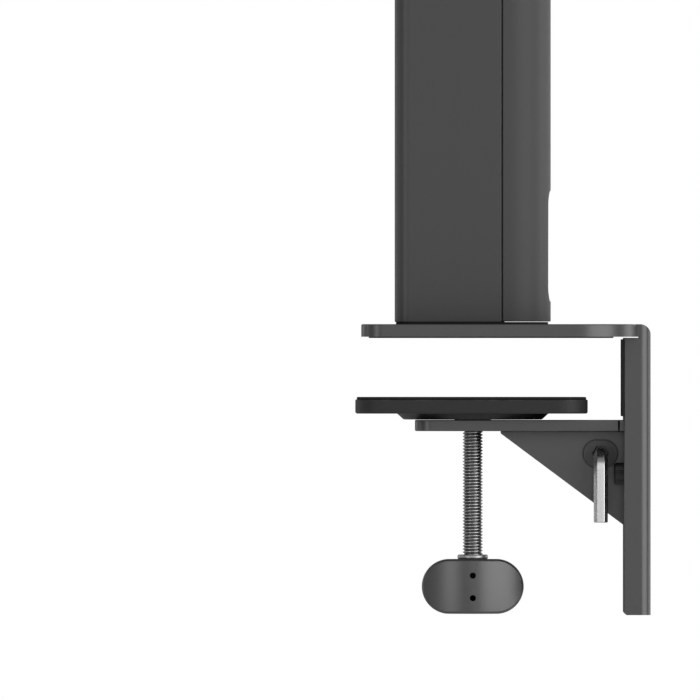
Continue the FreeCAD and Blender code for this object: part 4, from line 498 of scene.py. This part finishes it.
bracket_bolts.name = "bracket_cap_screws"
smoothed(bracket_bolts, 20)
install(bracket_bolts, "bracket_bolts", black_oxide)
install(eased("bolt_washers", WASHER_EDGE), "bolt_washers", black_oxide)

# ---- Weld nut and clamp screw ----
# A hexagon weld nut takes an M8 screw with a rolled 1.25 mm thread, with painted shade that darkens
# its roots below its crests. Its plain tip turns in the pressure plate.

THREAD_RADIUS = 0.004
THREAD_PITCH = 0.00125
THREAD_DEPTH = 0.00068
THREAD_STEPS = 40
THREAD_START = 0.0003
# one turn's section from root to root: out as a share of the depth, up as a share of the pitch
THREAD_SECTION = ((0, 0), (0, 0.20), (1, 0.48), (1, 0.70), (0, 1))
TIP_RADIUS = 0.003
# margin inside the thread's roots and crests over which the painted root shade fades
ROOT_SHADE_EDGE = 0.0001
FINE_EDGE = 0.0002

ground_steel = coated("ground_steel", (0.36, 0.44), (0.24, 0.40), 0.0005, 0.000004, drift=0.006,
                      stretch=(1, 1, 0.2), rub=0.2, bare=0.6, metal=1.0)
install(eased("weld_nut", LIGHT_EDGE), "weld_nut", ground_steel)

screw_low, screw_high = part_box("clamp_screw")
thread_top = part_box("weld_nut")[1].z
root_radius = THREAD_RADIUS - THREAD_DEPTH
turns = math.ceil((thread_top - screw_low.z) / THREAD_PITCH) + 1
rises = len(THREAD_SECTION) - 1
bpy.ops.object.select_all(action="DESELECT")
bpy.ops.mesh.primitive_grid_add(
    x_subdivisions=1, y_subdivisions=rises, size=THREAD_PITCH,
    location=(root_radius + THREAD_PITCH / 2, 0, screw_low.z - THREAD_PITCH / 2),
    rotation=(math.pi / 2, 0, 0))
thread = settled("clamp_screw_thread", bpy.context.object)
bpy.ops.object.mode_set(mode="EDIT")
choose("verts", lambda vert, middle: middle.x > root_radius + THREAD_PITCH / 2)
bpy.ops.mesh.delete(type="VERT")
foot = screw_low.z - THREAD_PITCH
for step, (out, rise) in enumerate(THREAD_SECTION):
    choose("verts", lambda vert, middle: abs(middle.z - foot - step * THREAD_PITCH / rises)
           < THREAD_PITCH / 20)
    bpy.ops.transform.translate(value=(out * THREAD_DEPTH, 0, (rise - step / rises) * THREAD_PITCH))
bpy.ops.object.mode_set(mode="OBJECT")
winding = thread.modifiers.new("winding", "SCREW")
winding.axis = "Z"
winding.screw_offset = THREAD_PITCH
winding.iterations = turns
winding.steps = THREAD_STEPS
winding.render_steps = THREAD_STEPS
winding.use_merge_vertices = True
winding.merge_threshold = WELD_DISTANCE
bpy.ops.object.modifier_apply(modifier=winding.name)
bpy.ops.object.mode_set(mode="EDIT")
for level, keep_up in ((screw_low.z + THREAD_START, True), (thread_top, False)):
    bpy.ops.mesh.select_all(action="SELECT")
    bpy.ops.mesh.bisect(plane_co=(0, 0, level), plane_no=(0, 0, 1), use_fill=True,
                        clear_inner=keep_up, clear_outer=not keep_up)
bpy.ops.mesh.select_all(action="SELECT")
bpy.ops.mesh.remove_doubles(threshold=WELD_DISTANCE)
bpy.ops.mesh.fill_holes(sides=0)
choose("faces", lambda face, middle: any(len(edge.link_faces) == 1 for edge in face.edges))
bpy.ops.mesh.delete(type="FACE")
bpy.ops.mesh.select_all(action="SELECT")
bpy.ops.mesh.normals_make_consistent(inside=False)
bpy.ops.object.mode_set(mode="OBJECT")
bpy.ops.mesh.primitive_cylinder_add(
    vertices=48, radius=TIP_RADIUS, depth=screw_high.z - thread_top,
    location=(0, 0, (screw_high.z + thread_top) / 2))
tip = settled("screw_tip", bpy.context.object)
broken_edges(tip, LIGHT_EDGE)
clamp_screw = joined([thread, tip])
smoothed(clamp_screw, 25)

rolled_steel = coated("rolled_thread_steel", (0.40, 0.46), (0.34, 0.42), 0.0004, 0.000004,
                      drift=0.01, rub=0.0, metal=1.0)
tree = rolled_steel.node_tree
flat = node_in(tree, "VectorMath", {
    0: node_in(tree, "TexCoord").outputs["Object"], 1: (1, 1, 0)}, operation="MULTIPLY")
radius = node_in(tree, "VectorMath", {0: flat.outputs[0]}, operation="LENGTH")
# painted shade: the thread's colour darkens toward its roots, by distance from the screw's axis
root_shade = node_in(tree, "MapRange", {
    "Value": radius.outputs["Value"], "From Min": root_radius + ROOT_SHADE_EDGE,
    "From Max": THREAD_RADIUS - ROOT_SHADE_EDGE, "To Min": 0.24, "To Max": 1.0})
skin = tree.nodes["Principled BSDF"]
clean = skin.inputs["Base Color"].links[0].from_socket
root_shaded = node_in(tree, "Mix", {"Factor": 1.0, 6: clean, 7: root_shade.outputs[0]}, data_type="RGBA",
                   blend_type="MULTIPLY")
tree.links.new(root_shaded.outputs[2], skin.inputs["Base Color"])
install(clamp_screw, "clamp_screw", rolled_steel)
install(eased("tip_washer", FINE_EDGE), "tip_washer", ground_steel)

# ---- Plated collar ----
# A turned and plated ring that seats on the knob and turns with the screw. Its rims are rolled
# over, and fine turning marks run round it.

COLLAR_RIM = 0.0006
BORE_GAP = 0.00005

low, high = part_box("screw_collar")
collar_radius = high.x
bpy.ops.object.select_all(action="DESELECT")
bpy.ops.mesh.primitive_cylinder_add(
    vertices=96, radius=collar_radius, depth=high.z - low.z, location=(0, 0, (low.z + high.z) / 2))
collar = settled("polished_collar", bpy.context.object)
bpy.ops.object.mode_set(mode="EDIT")
choose("faces", lambda face, middle: abs(face.normal.z) > 0.9)
bpy.ops.mesh.inset(thickness=collar_radius - THREAD_RADIUS - BORE_GAP)
bpy.ops.mesh.bridge_edge_loops()
choose("edges", lambda edge, middle: abs(edge.verts[0].co.z - edge.verts[1].co.z) < WELD_DISTANCE
       and middle.xy.length > collar_radius * RIM_SHARE)
bpy.ops.mesh.bevel(offset=COLLAR_RIM, segments=5, affect="EDGES")
bpy.ops.object.mode_set(mode="OBJECT")
smoothed(collar, 40)
polished_steel = coated("polished_plating", (0.36, 0.40), (0.40, 0.46), 0.0003, 0.000002, drift=0.01,
                        stretch=(0.1, 0.1, 1), rub=0.0, metal=1.0)
install(collar, "screw_collar", polished_steel)

# ---- Knob and its set screws ----
# A die-cast zinc wing knob: an obround from the side, crowned from above so that it thins
# toward its ends, painted satin dark grey. Two set screws sunk in its front lock it to the screw.

KNOB_CROWN = 0.0070
CROWN_POWER = 1.6
KNOB_RIM = 0.0011
RIM_ANGLE = 60
TIP_LENGTH = 0.0009
KNOB_SLICES = 24
CUT_DISTANCE = 1e-7
SET_SCREW_HOLE = 0.00126

low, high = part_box("knob")
middle_height = (low.z + high.z) / 2
end_radius = (high.z - low.z) / 2
straight = high.x - end_radius
bpy.ops.object.select_all(action="DESELECT")
bpy.ops.mesh.primitive_circle_add(
    vertices=128, radius=end_radius, fill_type="NGON", location=(0, low.y, middle_height),
    rotation=(math.pi / 2, 0, 0))
knob = settled("wing_knob", bpy.context.object)
bpy.ops.object.mode_set(mode="EDIT")
for side in (-1, 1):
    choose("verts", lambda vert, middle: middle.x * side > WELD_DISTANCE)
    bpy.ops.transform.translate(value=(side * straight, 0, 0))
places = {round(vert.co.x, 7) for vert in bmesh.from_edit_mesh(knob.data).verts}
places |= {round(straight * step / KNOB_SLICES, 7) for step in range(-KNOB_SLICES, KNOB_SLICES + 1)}
for place in sorted(places):
    if abs(place) < high.x - TIP_LENGTH:
        bpy.ops.mesh.select_all(action="SELECT")
        bpy.ops.mesh.bisect(plane_co=(place, 0, 0), plane_no=(1, 0, 0), threshold=CUT_DISTANCE)
bpy.ops.mesh.select_all(action="SELECT")
bpy.ops.mesh.remove_doubles(threshold=WELD_DISTANCE)
bpy.ops.mesh.extrude_region_move(TRANSFORM_OT_translate={"value": (0, high.y - low.y, 0)})
bpy.ops.mesh.select_all(action="SELECT")
bpy.ops.mesh.normals_make_consistent(inside=False)
columns = sorted({round(vert.co.x, 7) for vert in bmesh.from_edit_mesh(knob.data).verts})
for place in columns:
    inward = KNOB_CROWN * (abs(place) / high.x) ** CROWN_POWER
    for face_side in (-1, 1):
        choose("verts", lambda vert, middle: abs(middle.x - place) < CUT_DISTANCE
               and middle.y * face_side > 0)
        bpy.ops.transform.translate(value=(0, -face_side * inward, 0))
choose("edges", lambda edge, middle: len(edge.link_faces) == 2
       and edge.calc_face_angle() > math.radians(RIM_ANGLE))
bpy.ops.mesh.bevel(offset=KNOB_RIM, segments=6, affect="EDGES", clamp_overlap=False)
bpy.ops.object.mode_set(mode="OBJECT")
screws_low, screws_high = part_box("knob_set_screws")
set_screw_radius = screws_high.x
holes = []
for level in (screws_low.z + set_screw_radius, screws_high.z - set_screw_radius):
    bpy.ops.mesh.primitive_cylinder_add(
        vertices=40, radius=SET_SCREW_HOLE, depth=2 * (screws_high.y - low.y),
        location=(0, low.y, level), rotation=(math.pi / 2, 0, 0))
    holes.append(bpy.context.object)
carved(knob, joined(holes))
bpy.ops.mesh.primitive_cylinder_add(
    vertices=64, radius=THREAD_RADIUS + BORE_GAP, depth=2 * (high.z - screw_low.z), location=(0, 0, high.z))
carved(knob, bpy.context.object)
smoothed(knob, 30, has_flats=False)
knob_paint = coated("knob_satin_paint", (0.0360, 0.0375), (0.30, 0.34), 0.00015, 0.000002,
                    rub=0.35, bare=0.34, shine=0.9)
install(knob, "knob", knob_paint)
# painted shade: the set screws are near black, darker than the black oxide, standing in for the shade in
# the holes they sit in
set_screw_black_and_hole_shade = coated("black_steel_with_painted_hole_shade", (0.004, 0.008), (0.50, 0.65), 0.0004, 0.000008, rub=0.0,
                     metal=0.5, shine=0.2)
install(eased("knob_set_screws", FINE_EDGE), "knob_set_screws", set_screw_black_and_hole_shade)

# ---- Pressure plate ----
# The steel plate that the screw pushes up under the desk, with a round tapered boss below it.

# painted shade: a darker, duller copy of the bracket powder coat, for the shade that falls on the pressure
# plate
press_coat_painted_shade = coated("pressure_plate_coat_painted_shade", (0.0250, 0.0260), (0.45, 0.50), 0.00013, 0.000002,
                    drift=0.06, shine=0.2)
install(eased("pressure_plate", PLATE_EDGE), "pressure_plate", press_coat_painted_shade)

# ---- Hex key ----
# A bent length of nickel-plated hexagon bar with chamfered ends. Its long leg lies in the
# grommets, and its short leg hangs outside them.

KEY_FLATS = 0.005
KEY_BEND = 0.006
KEY_CHAMFER = 0.0004
KEY_EDGE = 0.00022

low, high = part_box("hex_key")
across = (low.x + high.x) / 2
key_radius = KEY_FLATS / 2 / math.cos(math.pi / 6)
key_level = high.z - KEY_FLATS / 2
key_start = low.y + KEY_FLATS / 2 + KEY_BEND
bpy.ops.object.select_all(action="DESELECT")
bpy.ops.mesh.primitive_circle_add(
    vertices=6, radius=key_radius, fill_type="NGON", location=(across, high.y, key_level),
    rotation=(math.pi / 2, math.pi / 6, 0))
key = settled("stored_hex_key", bpy.context.object)
bpy.ops.object.mode_set(mode="EDIT")
bpy.ops.mesh.select_all(action="SELECT")
bpy.ops.mesh.extrude_region_move(TRANSFORM_OT_translate={"value": (0, key_start - high.y, 0)})
choose("faces", lambda face, middle: abs(middle.y - key_start) < WELD_DISTANCE)
bpy.ops.mesh.spin(steps=20, angle=-math.pi / 2,
                  center=(across, key_start, key_level - KEY_BEND), axis=(1, 0, 0))
hanging = low.z - (key_level - KEY_BEND)
choose("faces", lambda face, middle: abs(middle.z - (key_level - KEY_BEND)) < WELD_DISTANCE
       and middle.y < key_start)
bpy.ops.mesh.extrude_region_move(TRANSFORM_OT_translate={"value": (0, 0, hanging)})
bpy.ops.mesh.select_all(action="SELECT")
bpy.ops.mesh.remove_doubles(threshold=WELD_DISTANCE)
bpy.ops.mesh.normals_make_consistent(inside=False)
choose("edges", lambda edge, middle: all(abs(vert.co.z - low.z) < WELD_DISTANCE for vert in edge.verts)
       or all(abs(vert.co.y - high.y) < WELD_DISTANCE for vert in edge.verts))
bpy.ops.mesh.bevel(offset=KEY_CHAMFER, segments=2, affect="EDGES")
bpy.ops.object.mode_set(mode="OBJECT")
broken_edges(key, KEY_EDGE, segments=3, angle=45)
smoothed(key, 28)
nickel = coated("nickel_plate", (0.56, 0.64), (0.20, 0.30), 0.0003, 0.000003, drift=0.008,
                stretch=(1, 0.6, 0.06), rub=0.0, metal=1.0)
install(key, "hex_key", nickel)

# ---- Column ----
# An aluminium extrusion with rounded front corners, finished in a fine matt coat over the
# faint upright lines that the die leaves. Four screws hold it to the top plate from below.

column_coat = coated("column_matt_coat", (0.0430, 0.0445), (0.38, 0.42), 0.00013, 0.000002, drift=0.006,
                     stretch=(1, 1, 0.01), rub=0.1, bare=0.2, shine=0.45)
install(eased("column_body", LIGHT_EDGE), "column_body", column_coat)
install(eased("column_screws", LIGHT_EDGE), "column_screws", black_oxide)

# ---- Rear cable cover ----
# A moulded cover with a crowned back that snaps onto the column and hides the cables. It has a
# fine eroded texture, and a rounded slot near each end lets the cables out.

cover_plastic = coated("cover_moulded_plastic", (0.0600, 0.0620), (0.50, 0.56), 0.0004, 0.000008,
                       drift=0.05, rub=0.1, bare=0.12, shine=0.25)
install(eased("rear_cable_cover", PLATE_EDGE), "rear_cable_cover", cover_plastic)

# ---- Column head and shoulder ----
# A die-cast head closes the column and holds the shoulder's ground post. The link arm turns on
# it between acetal washers and a bush, under a steel retainer, a screw and a nylon cap.

CAST_EDGE = 0.0005

casting_coat = coated("casting_satin_coat", (0.049, 0.053), (0.38, 0.46), 0.0007, 0.000012, drift=0.04,
                      rub=0.3, bare=0.30)
acetal = coated("natural_acetal", (0.52, 0.58), (0.32, 0.44), 0.0006, 0.000006, drift=0.01, rub=0.0)
install(eased("column_head", CAST_EDGE), "column_head", casting_coat)
for node in ("head_screws", "shoulder_screw"):
    install(eased(node, LIGHT_EDGE), node, black_oxide)
for node in ("shoulder_post", "shoulder_retainer"):
    install(eased(node, LIGHT_EDGE), node, ground_steel)
for node in ("shoulder_washer", "shoulder_bush"):
    install(eased(node, FINE_EDGE), node, acetal)
install(eased("shoulder_cap", FINE_EDGE), "shoulder_cap", nylon)

# ---- Link arm ----
# A die-cast beam between two hubs, hollow below to take the cables, which snap into two nylon
# clips. An acetal bush lines its elbow end.

LINK_EDGE = 0.0006

install(eased("link_arm", LINK_EDGE), "link_arm", casting_coat)
install(eased("link_cable_clips", LIGHT_EDGE), "link_cable_clips", nylon)
install(eased("elbow_bush", FINE_EDGE), "elbow_bush", acetal)

# ---- Elbow ----
# A forked die-cast knuckle on a ground post. The arm's pivot pins pass through its fork, and a
# screw at its back sets how hard the gas spring lifts.

install(eased("elbow_knuckle", CAST_EDGE), "elbow_knuckle", casting_coat)
for node in ("elbow_post", "spring_pin"):
    install(eased(node, LIGHT_EDGE), node, ground_steel)
for node in ("tension_screw", "rear_pivot_pins"):
    install(eased(node, LIGHT_EDGE), node, black_oxide)

# ---- Gas spring ----
# A black painted pressure tube and a hard-chromed rod, each with an eye, inside the arm. The
# rod's eye hangs on a pin in a small bracket under the upper shell's roof.

spring_paint = coated("spring_gloss_paint", (0.030, 0.034), (0.18, 0.26), 0.0009, 0.000006, drift=0.03,
                      rub=0.2, coat=0.4)
install(eased("gas_spring_tube", CAST_EDGE), "gas_spring_tube", spring_paint)
install(eased("gas_spring_rod", LIGHT_EDGE), "gas_spring_rod", polished_steel)
for node in ("spring_bracket", "rod_pin"):
    install(eased(node, LIGHT_EDGE), node, ground_steel)

# ---- Arm shells and their cable clips ----
# Two die-cast channels, the lower one inside the upper, make the parallelogram that keeps the
# screen upright. Cables run under the lower shell in two nylon clips.

for node in ("upper_arm_shell", "lower_arm_shell"):
    install(eased(node, CAST_EDGE), node, casting_coat)
install(eased("arm_cable_clips", LIGHT_EDGE), "arm_cable_clips", nylon)

# ---- Front knuckle and head ----
# The front knuckle carries the pan bearing. Below it the pan block swivels on a ground post and
# grips the tilt block between two cheeks, acetal washers and a bolt with its nut.

for node, rim in (("front_knuckle", CAST_EDGE), ("pan_block", 0), ("tilt_block", CAST_EDGE)):
    install(eased(node, rim), node, casting_coat)
for node in ("front_pivot_pins", "pan_screw", "tilt_bolt", "tilt_nut"):
    install(eased(node, LIGHT_EDGE), node, black_oxide)
for node in ("pan_post", "pan_retainer"):
    install(eased(node, LIGHT_EDGE), node, ground_steel)
for node in ("pan_bush", "tilt_washers"):
    install(eased(node, FINE_EDGE), node, acetal)

# ---- Screen plate ----
# A pressed steel plate with a dished centre and holes at 75 and 100 mm. It turns on a washer
# behind the tilt block's flange, under a retaining washer and a screw.

DISH_ANGLE = 50

install(eased("vesa_plate", PLATE_EDGE, angle=DISH_ANGLE), "vesa_plate", bracket_coat)
install(eased("rotation_washer", FINE_EDGE), "rotation_washer", acetal)
install(eased("rotation_retainer", FINE_EDGE), "rotation_retainer", ground_steel)
install(eased("rotation_screw", LIGHT_EDGE), "rotation_screw", black_oxide)
